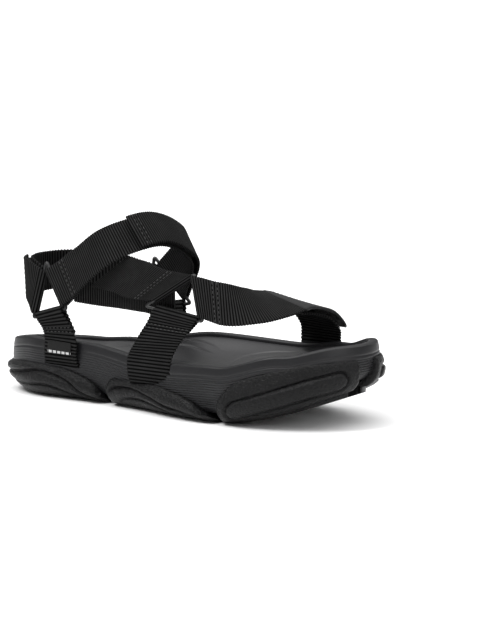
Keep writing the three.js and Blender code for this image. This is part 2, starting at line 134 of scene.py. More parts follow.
def spline(points: Sequence[Sequence[float]], t: Array, closed: bool = False) -> Array:
    """Centripetal Catmull-Rom curve through points.

    Args:
        points: the points that the curve passes.
        t: shares of the way along, from 0 to 1.
        closed: whether the last point joins the first.

    Returns:
        One point for each t.
    """
    p = np.asarray(points, float)
    count = len(p)
    if closed:
        p = np.vstack([p[-1:], p, p[:2]])
        place = np.mod(t, 1.0) * count
        first = np.minimum(np.floor(place).astype(int), count - 1)
    else:
        p = np.vstack([2 * p[0] - p[1], p, 2 * p[-1] - p[-2]])
        place = np.clip(t, 0, 1) * (count - 1)
        first = np.minimum(np.floor(place).astype(int), count - 2)
    w = (place - first)[:, None]
    p0, p1, p2, p3 = (p[first + i] for i in range(4))
    d0, d1, d2 = (np.sqrt(np.linalg.norm(b - a, axis=1, keepdims=True))
                  for a, b in ((p0, p1), (p1, p2), (p2, p3)))
    d1 = np.where(d1 < 1e-4, 1.0, d1)
    d0 = np.where(d0 < 1e-4, d1, d0)
    d2 = np.where(d2 < 1e-4, d1, d2)
    m1 = ((p1 - p0) / d0 - (p2 - p0) / (d0 + d1) + (p2 - p1) / d1) * d1
    m2 = ((p2 - p1) / d1 - (p3 - p1) / (d1 + d2) + (p3 - p2) / d2) * d1
    c2 = -3 * p1 + 3 * p2 - 2 * m1 - m2
    c3 = 2 * p1 - 2 * p2 + m1 + m2
    return p1 + w * (m1 + w * (c2 + w * c3))


def through(pairs: Sequence[Pair], x: Array) -> Array:
    """The height at x of a smooth curve through (x, height) pairs that rise in x."""
    dense = spline(pairs, np.linspace(0, 1, 40 * len(pairs)))
    return np.interp(x, np.maximum.accumulate(dense[:, 0]), dense[:, 1])


def groove(distance: Array, width: float) -> Array:
    """1 in the middle of a groove of that width, falling to 0 at its sides."""
    return np.exp(-((2 * distance / width) ** 2))


# ------------------------------------------------------------------- meshes


def only(obj: bpy.types.Object) -> None:
    """Selects one object and nothing else."""
    bpy.ops.object.select_all(action="DESELECT")
    obj.select_set(True)
    bpy.context.view_layer.objects.active = obj


def frame_shift() -> Array:
    """How far the part's own origin lies from the frame's, told by the medial ring's outer side."""
    outermost = RINGS.medial.corners[:, 1].max() + ROD_RADIUS
    return np.array([0.0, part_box("ring_medial")[1].y / MM - outermost, 0.0])


def wrapped_grid(
    name: str,
    points: Array,
    uv: Optional[Array] = None,
    closed: bool = False,
    cap: bool = False,
    crease: float = 40,
) -> bpy.types.Object:
    """A grid primitive moved onto rows of points, welded where they meet.

    Args:
        name: the piece's name.
        points: rows of points in millimetres, shaped (rows, columns, 3).
        uv: a pattern place in metres for each point, shaped (rows, columns, 2).
        closed: whether each row's last point joins its first.
        cap: whether open ends are filled.
        crease: the angle in degrees past which an edge stays sharp.

    Returns:
        The new object, with its place in its mesh.
    """
    if closed:
        points = np.concatenate([points, points[:, :1]], axis=1)
    rows, columns = points.shape[:2]
    bpy.ops.object.select_all(action="DESELECT")
    bpy.ops.mesh.primitive_grid_add(x_subdivisions=columns - 1, y_subdivisions=rows - 1, size=1)
    obj = bpy.context.active_object
    obj.name = name + PIECE
    obj.data.name = name + PIECE
    placed = (points + frame_shift()) * MM
    obj.data.vertices.foreach_set("co", placed.reshape(-1).astype(np.float32))
    if uv is not None:
        corner = np.zeros(len(obj.data.loops), np.int32)
        obj.data.loops.foreach_get("vertex_index", corner)
        flat = uv.reshape(-1, 2)[corner]
        obj.data.uv_layers[0].data.foreach_set("uv", flat.reshape(-1).astype(np.float32))
    obj.data.update()
    bpy.ops.object.mode_set(mode="EDIT")
    bpy.ops.mesh.select_all(action="SELECT")
    bpy.ops.mesh.remove_doubles(threshold=2e-6)
    if cap:
        bpy.ops.mesh.fill_holes(sides=0)
    bpy.ops.mesh.select_all(action="SELECT")
    bpy.ops.mesh.normals_make_consistent(inside=False)
    bpy.ops.object.mode_set(mode="OBJECT")
    bpy.ops.object.shade_smooth_by_angle(angle=math.radians(crease))
    return obj


def cut_out(obj: bpy.types.Object, cutters: Sequence[bpy.types.Object]) -> None:
    """Cuts each cutter's shape from a piece."""
    for cutter in cutters:
        only(obj)
        knife = obj.modifiers.new("slot", "BOOLEAN")
        knife.operation = "DIFFERENCE"
        knife.solver = "EXACT"
        knife.object = cutter
        bpy.ops.object.modifier_apply(modifier=knife.name)


def discard(objects: Sequence[bpy.types.Object]) -> None:
    """Removes construction pieces."""
    for obj in objects:
        bpy.data.objects.remove(obj)


def copies(name: str, template: bpy.types.Object, places: Sequence[Array]) -> bpy.types.Object:
    """One mesh of many copies of a small template.

    Args:
        name: the new piece's name.
        template: the shape, in metres, which is removed.
        places: a 4 x 4 matrix in millimetres for each copy.

    Returns:
        The new object.
    """
    base = np.array([v.co[:] for v in template.data.vertices]) / MM
    faces = [list(p.vertices) for p in template.data.polygons]
    verts, polygons = [], []
    for index, place in enumerate(places):
        moved = base @ place[:3, :3].T + place[:3, 3] + frame_shift()
        verts.extend((moved * MM).tolist())
        polygons.extend([[v + index * len(base) for v in f] for f in faces])
    mesh = bpy.data.meshes.new(name)
    mesh.from_pydata(verts, [], polygons)
    obj = bpy.data.objects.new(name, mesh)
    bpy.context.scene.collection.objects.link(obj)
    discard([template])
    only(obj)
    bpy.ops.object.shade_smooth()
    return obj


# ---------------------------------------------------------------- materials


def linear(hex_colour: str) -> tuple[float, float, float, float]:
    """A colour from its sRGB hex value.

    Args:
        hex_colour: six hex digits.

    Returns:
        Linear red, green, blue and alpha.
    """
    parts = [int(hex_colour[i:i + 2], 16) / 255 for i in (0, 2, 4)]
    low = [p / 12.92 if p <= 0.04045 else ((p + 0.055) / 1.055) ** 2.4 for p in parts]
    return (low[0], low[1], low[2], 1.0)


def add_node(
    tree: bpy.types.NodeTree,
    kind: str,
    values: Optional[dict[Any, Any]] = None,
    links: Optional[dict[Any, Any]] = None,
) -> bpy.types.Node:
    """Adds a shader node.

    Args:
        tree: the material's nodes.
        kind: the node's type.
        values: settings by attribute name, or by input name or number.
        links: output sockets by input name or number.

    Returns:
        The new node.
    """
    node = tree.nodes.new(kind)
    for key, value in (values or {}).items():
        if isinstance(key, str) and hasattr(node, key):
            setattr(node, key, value)
        else:
            node.inputs[key].default_value = value
    for key, socket in (links or {}).items():
        tree.links.new(socket, node.inputs[key])
    return node


def sine_of(tree: bpy.types.NodeTree, coordinate: Any, pitch: float) -> Any:
    """A sine wave of a coordinate in metres.

    Args:
        tree: the material's nodes.
        coordinate: the socket that holds the coordinate.
        pitch: the wave's length in millimetres.

    Returns:
        The wave's socket.
    """
    turns = add_node(tree, "ShaderNodeMath", {"operation": "MULTIPLY", 1: 2 * math.pi / (pitch * MM)},
                     {0: coordinate})
    return add_node(tree, "ShaderNodeMath", {"operation": "SINE"}, {0: turns.outputs[0]}).outputs[0]


@dataclass(frozen=True)
class Finish:
    """One material as made: its colours, gloss and the size of its pattern."""

    name: str
    # dark and light: the colours of the pattern's low and high places, which paint shade in the low ones and
    # a highlight on the high ones
    dark: str
    light: str
    roughness: float
    sheen: float = 0.0
    grain: float = 0.8
    relief: float = 0.1
    mottle: float = 14.0
    gloss: float = 0.35

    def pattern(self, tree: bpy.types.NodeTree, where: Any) -> Any:
        """The fine surface height, as noise of the grain's size."""
        noise = add_node(tree, "ShaderNodeTexNoise", {"Scale": 1 / (self.grain * MM), "Detail": 4.0,
                                                      "Roughness": 0.55}, {"Vector": where})
        return noise.outputs["Fac"]

    def tint(self, tree: bpy.types.NodeTree, where: Any, height: Any) -> Any:
        """The base colour: random mottle, with painted shade in the pattern's low places and a painted
        highlight on its high ones.
        """
        cloud = add_node(tree, "ShaderNodeTexNoise", {"Scale": 1 / (self.mottle * MM), "Detail": 3.0},
                         {"Vector": where})
        # Painted shade and highlight: the pattern's height darkens its low places and lightens its high ones,
        # over a random mottle.
        both = add_node(tree, "ShaderNodeMath", {"operation": "MULTIPLY_ADD", 1: 0.6},
                        {0: cloud.outputs["Fac"], 2: height})
        share = add_node(tree, "ShaderNodeMapRange", {"From Min": 0.2, "From Max": 1.3},
                         {"Value": both.outputs[0]})
        return add_node(tree, "ShaderNodeMix", {"data_type": "RGBA", "A": linear(self.dark),
                                                "B": linear(self.light)},
                        {"Factor": share.outputs["Result"]}).outputs["Result"]

    def material(self) -> bpy.types.Material:
        """The material, made on its first use.

        Returns:
            The finished material.
        """
        ready = bpy.data.materials.get(self.name)
        if ready:
            return ready
        made = bpy.data.materials.new(self.name)
        made.use_nodes = True
        tree = made.node_tree
        shader = tree.nodes["Principled BSDF"]
        where = self.coordinates(tree)
        height = self.pattern(tree, where)
        tree.links.new(self.tint(tree, where, height), shader.inputs["Base Color"])
        spread = add_node(tree, "ShaderNodeMapRange", {"To Min": self.roughness + 0.08,
                                                       "To Max": self.roughness - 0.08}, {"Value": height})
        tree.links.new(spread.outputs["Result"], shader.inputs["Roughness"])
        bump = add_node(tree, "ShaderNodeBump", {"Strength": 0.8, "Distance": self.relief * MM},
                        {"Height": height})
        tree.links.new(bump.outputs["Normal"], shader.inputs["Normal"])
        shader.inputs["IOR"].default_value = 1.5
        shader.inputs["Specular IOR Level"].default_value = self.gloss
        shader.inputs["Sheen Weight"].default_value = self.sheen
        shader.inputs["Sheen Roughness"].default_value = 0.45
        return made

    def coordinates(self, tree: bpy.types.NodeTree) -> Any:
        """Where the pattern lies: the object's own coordinates, in metres."""
        return add_node(tree, "ShaderNodeTexCoord").outputs["Object"]


@dataclass(frozen=True)
class Woven(Finish):
    """Woven tape: fine crossing threads over cross ribs, with painted shade in the hollows between them."""

    thread: float = 0.55
    rib: float = 2.0
    # The colour of the painted shade in the hollows between the ribs.
    hollow: str = "010101"

    def coordinates(self, tree: bpy.types.NodeTree) -> Any:
        """Where the pattern lies: along and across the tape, in metres."""
        return add_node(tree, "ShaderNodeTexCoord").outputs["UV"]

    def pattern(self, tree: bpy.types.NodeTree, where: Any) -> Any:
        """Threads along the tape that dip under each other by turns."""
        parts = add_node(tree, "ShaderNodeSeparateXYZ", {}, {0: where})
        along = sine_of(tree, parts.outputs[0], 2 * self.thread)
        across = sine_of(tree, parts.outputs[1], 2 * self.thread)
        crossed = add_node(tree, "ShaderNodeMath", {"operation": "MULTIPLY"}, {0: along, 1: across})
        fuzz = add_node(tree, "ShaderNodeTexNoise", {"Scale": 1 / (self.grain * MM), "Detail": 3.0},
                        {"Vector": where})
        mixed = add_node(tree, "ShaderNodeMath", {"operation": "MULTIPLY_ADD", 1: 0.22},
                         {0: crossed.outputs[0], 2: fuzz.outputs["Fac"]})
        return mixed.outputs[0]

    def tint(self, tree: bpy.types.NodeTree, where: Any, height: Any) -> Any:
        """The thread's colour, with painted shade down between the ribs where less light falls."""
        thread = super().tint(tree, where, height)
        parts = add_node(tree, "ShaderNodeSeparateXYZ", {}, {0: where})
        # Painted shade: the colour falls to the hollow shade colour between the ribs.
        half_turn = sine_of(tree, parts.outputs[0], 2 * self.rib)
        crest = add_node(tree, "ShaderNodeMath", {"operation": "ABSOLUTE"}, {0: half_turn})
        shade = add_node(tree, "ShaderNodeMapRange", {"From Min": 0.4, "From Max": 0.95},
                         {"Value": crest.outputs[0]})
        return add_node(tree, "ShaderNodeMix", {"data_type": "RGBA", "A": linear(self.hollow)},
                        {"Factor": shade.outputs["Result"], "B": thread}).outputs["Result"]


@dataclass(frozen=True)
class DashedLabel(Woven):
    """Woven label: a plain row of pale dashes, which carries no mark."""

    pale: str = "b5b5b5"
    dash: float = 2.6
    gap: float = 1.1
    band: float = 1.7

    def tint(self, tree: bpy.types.NodeTree, where: Any, height: Any) -> Any:
        """Dark ground, with painted shade between its ribs, and a row of dashes along its middle."""
        ground = super().tint(tree, where, height)
        parts = add_node(tree, "ShaderNodeSeparateXYZ", {}, {0: where})
        near = add_node(tree, "ShaderNodeMath", {"operation": "COMPARE", 1: 0.0, 2: self.band * MM},
                        {0: parts.outputs[0]})
        turn = add_node(tree, "ShaderNodeMath", {"operation": "PINGPONG", 1: (self.dash + self.gap) / 2 * MM},
                        {0: parts.outputs[1]})
        dashes = add_node(tree, "ShaderNodeMath", {"operation": "LESS_THAN", 1: self.dash / 2 * MM},
                          {0: turn.outputs[0]})
        mark = add_node(tree, "ShaderNodeMath", {"operation": "MULTIPLY"},
                        {0: near.outputs[0], 1: dashes.outputs[0]})
        return add_node(tree, "ShaderNodeMix", {"data_type": "RGBA", "B": linear(self.pale)},
                        {"Factor": mark.outputs[0], "A": ground}).outputs["Result"]


# Moulded EVA foam: near black, matt, with a soft even skin.
EVA_FOAM = Finish("moulded_eva_foam", "121213", "1e1e20", 0.42, grain=0.5, relief=0.03, gloss=0.25)
# Footbed foam: charcoal, smoother than the sole wall, so it catches the light.
FOOTBED_FOAM = Finish("moulded_footbed_foam", "1b1b1c", "29292b", 0.36, grain=0.6, relief=0.03, gloss=0.5)
# Moulded rubber: near black with a leathery grain that breaks up its gloss.
GRAINED_RUBBER = Finish("grained_moulded_rubber", "040404", "131314", 0.36, grain=1.7, relief=1.3, gloss=0.16)
# Ribbed polyester webbing: black and matt, with painted shade in the hollows between coarse ribs.
GROSGRAIN = Woven("ribbed_polyester_webbing", "141414", "303030", 0.75, grain=0.4, relief=0.12, gloss=0.03,
                  rib=2.4)
# The same webbing in a finer rib, with the same painted shade between its ribs, for the ankle and forefoot
# straps, the flaps and the side bands.
FINE_GROSGRAIN = Woven("fine_ribbed_polyester_webbing", "161616", "343434", 0.75, grain=0.4, relief=0.1,
                       gloss=0.03, rib=1.7)
# Plain woven pull tab: charcoal and flat, finer than the webbing, with painted shade between its fine ribs.
TAB_WEAVE = Woven("fine_woven_tab", "121213", "212122", 0.6, sheen=0.05, grain=0.3, relief=0.06, gloss=0.2,
                  thread=0.4, rib=0.9, hollow="0c0c0d")
# Loop tape: black brushed nylon pile.
LOOP_PILE = Finish("brushed_nylon_loop_pile", "050505", "101010", 0.95, sheen=0.06, grain=0.5, relief=0.4,
                   gloss=0.1)
# Hook tape: black nylon with a field of tiny hooks.
HOOK_FIELD = Finish("nylon_hook_field", "060606", "141414", 0.7, grain=0.9, relief=0.4, gloss=0.2)
# Woven label: fine black satin with pale dashes, and painted shade between its fine ribs.
LABEL_WEAVE = DashedLabel("satin_woven_label", "0a0a0a", "171717", 0.6, grain=0.3, relief=0.05, gloss=0.2,
                          thread=0.35, rib=0.7, hollow="080808")
# Moulded acetal ring: black with a low even gloss.
ACETAL = Finish("moulded_acetal", "0a0a0a", "141415", 0.35, grain=0.7, relief=0.02, gloss=0.4)
# Bonded polyester thread: dark grey and a little glossier than the webbing.
THREAD = Finish("bonded_polyester_thread", "1d1d1d", "3a3a3a", 0.45, grain=0.2, relief=0.05, gloss=0.4)


def finish_piece(
    obj: bpy.types.Object, look: Finish, body: Optional[Body], stands_for: Sequence[str] = ()
) -> None:
    """Gives a piece its material, its body and the CAD nodes it stands for.

    Args:
        obj: the finished piece.
        look: its finish.
        body: the body it moves with, or None where it is left unattached.
        stands_for: the CAD nodes that it replaces.
    """
    obj.data.materials.clear()
    obj.data.materials.append(look.material())
    if body:
        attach(obj, body.value)
    if stands_for:
        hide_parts(*stands_for)
    log.info("%s: %d faces, %s", obj.name, len(obj.data.polygons), look.name)


# --------------------------------------------------------------------- sole

LENGTH = 282
HEEL_HALF = 34
WAIST_HALF = 34
BALL_HALF = 48
HEEL_RIM = 41
WAIST_RIM = 35
ARCH_RIM = 45
TOE_RIM = 54
TREAD_DEPTH = 7
GAP = 0.3


def station(share: float) -> float:
    """The X of a share of the length, from heel to toe."""
    return (share - 0.5) * LENGTH


@dataclass
class SoleForm:
    """The outline and heights that the midsole, footbed and outsole pods share."""

    toe_spring: float = 24
    heel_lift: float = 5
    outline_points: Sequence[Pair] = (
        (0, 0), (0.025, -0.6 * HEEL_HALF), (0.12, -HEEL_HALF), (0.29, -WAIST_HALF),
        (0.44, -1.11 * WAIST_HALF), (0.58, -0.95 * BALL_HALF), (0.7, -BALL_HALF), (0.83, -0.92 * BALL_HALF),
        (0.93, -0.66 * BALL_HALF), (0.985, -0.25 * BALL_HALF), (1, 0.12 * BALL_HALF),
        (0.98, 0.52 * BALL_HALF),
        (0.91, 0.83 * BALL_HALF), (0.81, 0.98 * BALL_HALF), (0.69, BALL_HALF), (0.55, 0.83 * BALL_HALF),
        (0.42, 0.95 * WAIST_HALF), (0.29, 0.94 * WAIST_HALF), (0.12, HEEL_HALF), (0.025, 0.6 * HEEL_HALF),
    )
    lateral_rim: Sequence[Pair] = (
        (0, HEEL_RIM - 4), (0.12, HEEL_RIM), (0.28, HEEL_RIM), (0.5, WAIST_RIM),
        (0.7, WAIST_RIM + 3), (0.86, TOE_RIM - 6), (0.98, TOE_RIM),
    )
    medial_rim: Sequence[Pair] = (
        (0, HEEL_RIM - 8), (0.15, HEEL_RIM - 8), (0.28, HEEL_RIM - 5), (0.5, ARCH_RIM),
        (0.72, ARCH_RIM - 3), (0.86, TOE_RIM - 8), (0.98, TOE_RIM),
    )

    def at(self, t: Array, outward: Any = 0.0) -> Array:
        """Outline points in plan.

        Args:
            t: shares of the way round, from the heel by the lateral side and the toe.
            outward: distance out from the outline, for all or for each.

        Returns:
            X and Y for each t.
        """
        points = [(station(share), y) for share, y in self.outline_points]
        spot = spline(points, t, closed=True)
        along = unit(spline(points, t + 1e-4, closed=True) - spline(points, t - 1e-4, closed=True))
        return spot + np.stack([along[:, 1], -along[:, 0]], axis=1) * np.reshape(outward, (-1, 1))

    def turn_at(self, share: float, side: Side) -> float:
        """The t at which one side of the outline reaches a share of the length."""
        t = np.linspace(0.02, 0.48, 900) if side is Side.LATERAL else np.linspace(0.98, 0.52, 900)
        return float(np.interp(station(share), self.at(t)[:, 0], t))

    def side_at(self, x: float, side: Side) -> float:
        """The Y of one side of the outline at a station."""
        return float(self.at(np.array([self.turn_at(x / LENGTH + 0.5, side)]))[0, 1])

    def rim(self, x: Array, y: Array) -> Array:
        """Height of the rim over a point in plan."""
        share = np.asarray(x) / LENGTH + 0.5
        across = smoothstep(y, -HEEL_HALF, HEEL_HALF)
        lateral, medial = step_curve(self.lateral_rim)(share), step_curve(self.medial_rim)(share)
        return lateral * (1 - across) + medial * across

    def spring(self, x: Array) -> Array:
        """Height of the tread over the floor: it lifts at the toe and a little at the heel."""
        share = np.asarray(x) / LENGTH + 0.5
        toe = np.maximum(0, share - 0.68) / 0.32
        heel = np.maximum(0, 0.12 - share) / 0.12
        return self.toe_spring * toe**1.6 + self.heel_lift * heel**2

    def wall(self, v: Array) -> Array:
        """Distance of the wall outside the outline at a share of its height."""
        low = np.maximum(0, 1 - np.asarray(v) / 0.5) ** 2.6
        high = np.maximum(0, (np.asarray(v) - 0.5) / 0.5) ** 2.5
        return 0.8 - 5.8 * low - 1.8 * high


SOLE = SoleForm()


def raised(plan: Array, z: Array) -> Array:
    """Points in plan with a height added."""
    return np.concatenate([plan, np.broadcast_to(z, len(plan))[:, None]], axis=1)


def opposite(points: Array) -> Array:
    """The middle between each outline point and the one across the sole from it."""
    return (points + np.roll(points[::-1], 1, axis=0)) / 2


@dataclass
class Midsole:
    """The EVA midsole: a deep wall with fine ribs under a smooth rim band, and a recess on top."""

    columns: int = 420
    wall_rows: int = 110
    band: float = 6.5
    rib_pitch: float = 1.6
    rib_depth: float = 0.5
    line_depth: float = 0.4
    lip: float = 7.3
    recess: float = 8.8

    def relief(self, below: Array, above: Array, share: Array) -> Array:
        """Depth cut into the wall.

        Args:
            below: distance under the rim.
            above: distance over the midsole's foot.
            share: share of the length.

        Returns:
            The depth in millimetres.
        """
        ribs = (0.5 - 0.5 * np.cos(2 * math.pi * below / self.rib_pitch)) ** 1.5
        ribs *= smoothstep(below, self.band + 1, self.band + 4) * smoothstep(above, 1, 6)
        ribs *= 0.35 + 0.65 * smoothstep(share, 0.22, 0.4)
        line = groove(below - self.band, 1.3)
        return self.rib_depth * ribs + self.line_depth * line

    def build(self) -> bpy.types.Object:
        """Makes the midsole, before its slots are cut.

        Returns:
            The midsole piece.
        """
        t = np.arange(self.columns) / self.columns
        base = SOLE.at(t)
        foot = SOLE.spring(base[:, 0]) + TREAD_DEPTH
        top = SOLE.rim(base[:, 0], base[:, 1])
        share = base[:, 0] / LENGTH + 0.5
        rows = []
        under = raised(SOLE.at(t, -6), foot)
        for q in (1.0, 0.8, 0.5, 0.2):
            rows.append(under * (1 - q) + opposite(under) * q)
        rows.append(under)
        for v in np.linspace(0, 0.97, self.wall_rows):
            z = foot + (top - foot) * v
            depth = self.relief(top - z, z - foot, share)
            rows.append(raised(SOLE.at(t, SOLE.wall(v) - depth), z))
        for inward, drop in ((1.15, 0.55), (1.6, 0.15), (2.3, 0), (3.6, -0.1), (5.2, 0), (6.1, 0.25),
                             (6.6, 0.9),
                             (6.75, 2.2), (6.9, 4), (self.lip, self.recess)):
            rows.append(raised(SOLE.at(t, -inward), top - drop))
        floor = rows[-1]
        for q in (0.3, 0.65, 1.0):
            rows.append(floor * (1 - q) + opposite(floor) * q)
        obj = wrapped_grid("midsole", np.array(rows), closed=True, crease=50)
        finish_piece(obj, EVA_FOAM, Body.SANDAL, ["midsole"])
        return obj


@dataclass
class Footbed:
    """The footbed: a dished pad with moulded lines, sunk in the midsole's recess."""

    columns: int = 560
    top_rows: int = 70
    drop: float = 2.5
    thickness: float = 6
    dish: float = 1.8
    line_depth: float = 0.5
    line_width: float = 2.2

    def lines(self, x: Array, y: Array) -> Array:
        """Depth of the moulded lines: an oval under the heel, waves at the arch and arcs at the ball."""
        heel = np.hypot((x - station(0.16)) / 1.35, y) - 17
        arch = y - 11 * np.sin((x - station(0.3)) / 26)
        ball = np.hypot(x - station(0.74), (y + 2) * 0.85) - 24
        inner = np.hypot(x - station(0.74), (y + 2) * 0.85) - 14
        in_arch = smoothstep(x, station(0.27), station(0.32))
        in_arch = in_arch * (1 - smoothstep(x, station(0.54), station(0.6)))
        total = groove(heel, self.line_width) + groove(arch, self.line_width) * in_arch
        total = total + groove(arch - 9, self.line_width) * in_arch
        return total + groove(ball, self.line_width) + groove(inner, self.line_width)

    def build(self) -> bpy.types.Object:
        """Makes the footbed.

        Returns:
            The footbed piece.
        """
        t = np.arange(self.columns) / self.columns
        edge = SOLE.at(t, -7)
        top = SOLE.rim(edge[:, 0], edge[:, 1]) - self.drop
        foot = raised(SOLE.at(t, -8), top - self.thickness)
        rows = [foot * (1 - q) + opposite(foot) * q for q in (1.0, 0.6, 0.25, 0.0)]
        rows.append(raised(edge, top - 1.1))
        rows.append(raised(SOLE.at(t, -7.15), top - 0.4))
        rim = SOLE.at(t, -7.6)
        middle = opposite(rim)
        for q in np.linspace(0, 1, self.top_rows):
            plan = rim * (1 - q) + middle * q
            depth = self.dish * smoothstep(q, 0.02, 0.7)
            depth = depth + self.line_depth * self.lines(plan[:, 0], plan[:, 1]) * smoothstep(q, 0.06, 0.14)
            height = SOLE.rim(plan[:, 0], plan[:, 1]) - self.drop - depth
            rows.append(raised(plan, height))
        obj = wrapped_grid("footbed", np.array(rows), closed=True)
        finish_piece(obj, FOOTBED_FOAM, Body.SANDAL, ["footbed"])
        return obj


@dataclass
class PodLine:
    """A line moulded into a pod's side, through (share of its length, share of its height) points."""

    points: Sequence[Pair]
    depth: float = 0.9
    width: float = 1.7
    swell: float = 0.0

    def relief(self, a: Array, b: Array, height: Array, length: float) -> Array:
        """How far the side moves out for this line: in at the line and out above it."""
        first, last = self.points[0][0], self.points[-1][0]
        line = through(self.points, a)
        slope = np.gradient(line) * height / (np.gradient(a) * length + 1e-9)
        away = (b - line) * height / np.sqrt(1 + slope**2)
        ends = smoothstep(a, first - 0.01, first + 0.04) * (1 - smoothstep(a, last - 0.04, last + 0.01))
        above = smoothstep(away, 0, 3) * (1 - smoothstep(away, 4, 9))
        return ends * (self.swell * above - self.depth * groove(away, self.width))


@dataclass
class PodOval:
    """A long oval panel moulded into a pod's side, with a line round it."""

    start: Pair
    end: Pair
    half_height: float
    depth: float = 1.0
    width: float = 1.8
    swell: float = 0.7

    def relief(self, a: Array, b: Array, height: Array, length: float) -> Array:
        """How far the side moves out for this panel: in at its line and a little out inside it."""
        share = np.clip((a - self.start[0]) / (self.end[0] - self.start[0]), 0, 1)
        middle = self.start[1] + (self.end[1] - self.start[1]) * share
        past = (a - self.start[0] - share * (self.end[0] - self.start[0])) * length
        away = np.hypot(past, (b - middle) * height) - self.half_height
        return self.swell * smoothstep(-away, 0, 3) - self.depth * groove(away, self.width)


@dataclass
class Pod:
    """One rubber pod of the outsole: a shell round the midsole's foot with moulded lines on its side."""

    node: str
    start: float
    end: float
    top: Sequence[Pair]
    marks: Sequence[Any]
    side: Optional[Side] = Side.LATERAL
    channel: float = 6.0
    round_start: float = 7.0
    round_end: float = 7.0
    wall_rows: int = 44
    step: float = 0.85
    bulge: Sequence[Pair] = ((-3, -10), (0, -8), (2.5, -2.4), (8, 2.6), (14, 4.0), (21, 3.2), (32, 1.4),
                             (45, 1))
    sipe_pitch: float = 9.0
    sipe_depth: float = 1.4

    def envelope(self, height: Array) -> Array:
        """How far the side bulges outside the outline at a height over the tread."""
        return through(self.bulge, height)

    def ends(self, along: Array, length: float) -> Array:
        """1 along the pod, falling in a quarter round to 0 at its ends."""
        near = np.minimum(along / self.round_start, (length - along) / self.round_end)
        return np.sqrt(np.maximum(0, 1 - (1 - np.clip(near, 0, 1)) ** 2))

    def tread(self, x: Array, y: Array) -> Array:
        """Depth of the tread's curved grip lines."""
        wave = x + 3 * np.cos(y / 9)
        near = np.abs(np.mod(wave, self.sipe_pitch) - self.sipe_pitch / 2)
        return self.sipe_depth * groove(near, 2.4)

    def build(self, cutters: Sequence[bpy.types.Object]) -> bpy.types.Object:
        """Makes the pod.

        Args:
            cutters: the webbing slots that pass through it.

        Returns:
            The pod piece.
        """
        probe = np.linspace(self.start, self.end, 200)
        arc = np.concatenate([[0], np.cumsum(np.linalg.norm(np.diff(SOLE.at(probe), axis=0), axis=1))])
        count = int(arc[-1] / self.step) | 1
        along = np.linspace(0, arc[-1], count)
        t = np.interp(along, arc, probe)
        base = SOLE.at(t)
        share = base[:, 0] / LENGTH + 0.5
        spring = SOLE.spring(base[:, 0])
        foot = spring + TREAD_DEPTH
        rim = SOLE.rim(base[:, 0], base[:, 1])
        ends = self.ends(along, arc[-1])
        height = (through(self.top, share) - spring) * (0.4 + 0.6 * ends)
        height = np.maximum(height, 3.5)
        a = along / arc[-1]
        rows = []
        for b in np.concatenate([1 - np.linspace(0, 0.12, 8), np.linspace(0.87, 0, self.wall_rows)]):
            over = height * b
            z = spring + over
            v = np.clip((z - foot) / (rim - foot), 0, 1)
            inside = SOLE.wall(v) + GAP
            lip = np.sqrt(np.maximum(0, 1 - (1 - np.clip((height - over) / 4.5, 0, 1)) ** 2))
            out = inside + np.maximum(self.envelope(over) - inside, -6) * np.where(over < 6, 1, lip)
            relief = sum(mark.relief(a, np.full(count, b), height, arc[-1]) for mark in self.marks)
            fade = smoothstep(over, 1.5, 4) * smoothstep(height - over, 0.3, 2.5) * smoothstep(ends, 0.3, 0.9)
            rows.append(raised(SOLE.at(t, out + relief * fade - 4.5 * (1 - ends)), z))
        edge = rows[-1]
        centre = self.centre_of(edge)
        for q in (0.03, 0.08, *np.linspace(0.14, 1, 26)):
            floor = edge * (1 - q) + centre * q
            floor[:, 2] = SOLE.spring(floor[:, 0])
            if q < 0.97:
                fading = float(smoothstep(np.array(q), 0.03, 0.15))
                floor[:, 2] += self.tread(floor[:, 0], floor[:, 1]) * fading
            rows.append(floor)
        rows.extend(self.inside(t, rows[0], rows[-1], height, spring, foot))
        closed = self.side is not None
        points = np.array(rows).transpose(1, 0, 2)
        obj = wrapped_grid(self.node, points, closed=closed, cap=True, crease=38)
        cut_out(obj, cutters)
        finish_piece(obj, GRAINED_RUBBER, Body.SANDAL, [self.node])
        return obj

    def centre_of(self, edge: Array) -> Array:
        """Where the tread stops: the channel, or the middle of the heel."""
        middle = edge.copy()
        if self.side is None:
            return (edge + edge[::-1]) / 2
        limit = self.side.value * self.channel
        reach = np.maximum(np.abs(edge[:, 1]), self.channel)
        inner = np.where(reach > self.channel, limit, edge[:, 1])
        middle[:, 1] = np.where(np.sign(edge[:, 1]) == self.side.value, inner, limit)
        return middle

    def inside(
        self, t: Array, lip: Array, centre: Array, height: Array, spring: Array, foot: Array
    ) -> list[Array]:
        """The shell's inner side, from the middle of the tread back up to its top edge."""
        ceiling = spring + np.minimum(TREAD_DEPTH - GAP, 0.82 * height)
        corner = raised(SOLE.at(t, -6), ceiling)
        middle = centre.copy()
        middle[:, 2] = np.minimum(SOLE.spring(middle[:, 0]) + TREAD_DEPTH - GAP, ceiling)
        rows = [middle * (1 - q) + corner * q for q in (0, 0.35, 0.7, 1)]
        rim = SOLE.rim(lip[:, 0], lip[:, 1])
        for q in (0.25, 0.5, 0.75):
            z = ceiling + (lip[:, 2] - ceiling) * q
            v = np.clip((z - foot) / (rim - foot), 0, 1)
            rows.append(raised(SOLE.at(t, SOLE.wall(v) + GAP - 1.2 * (1 - q)), z))
        return rows


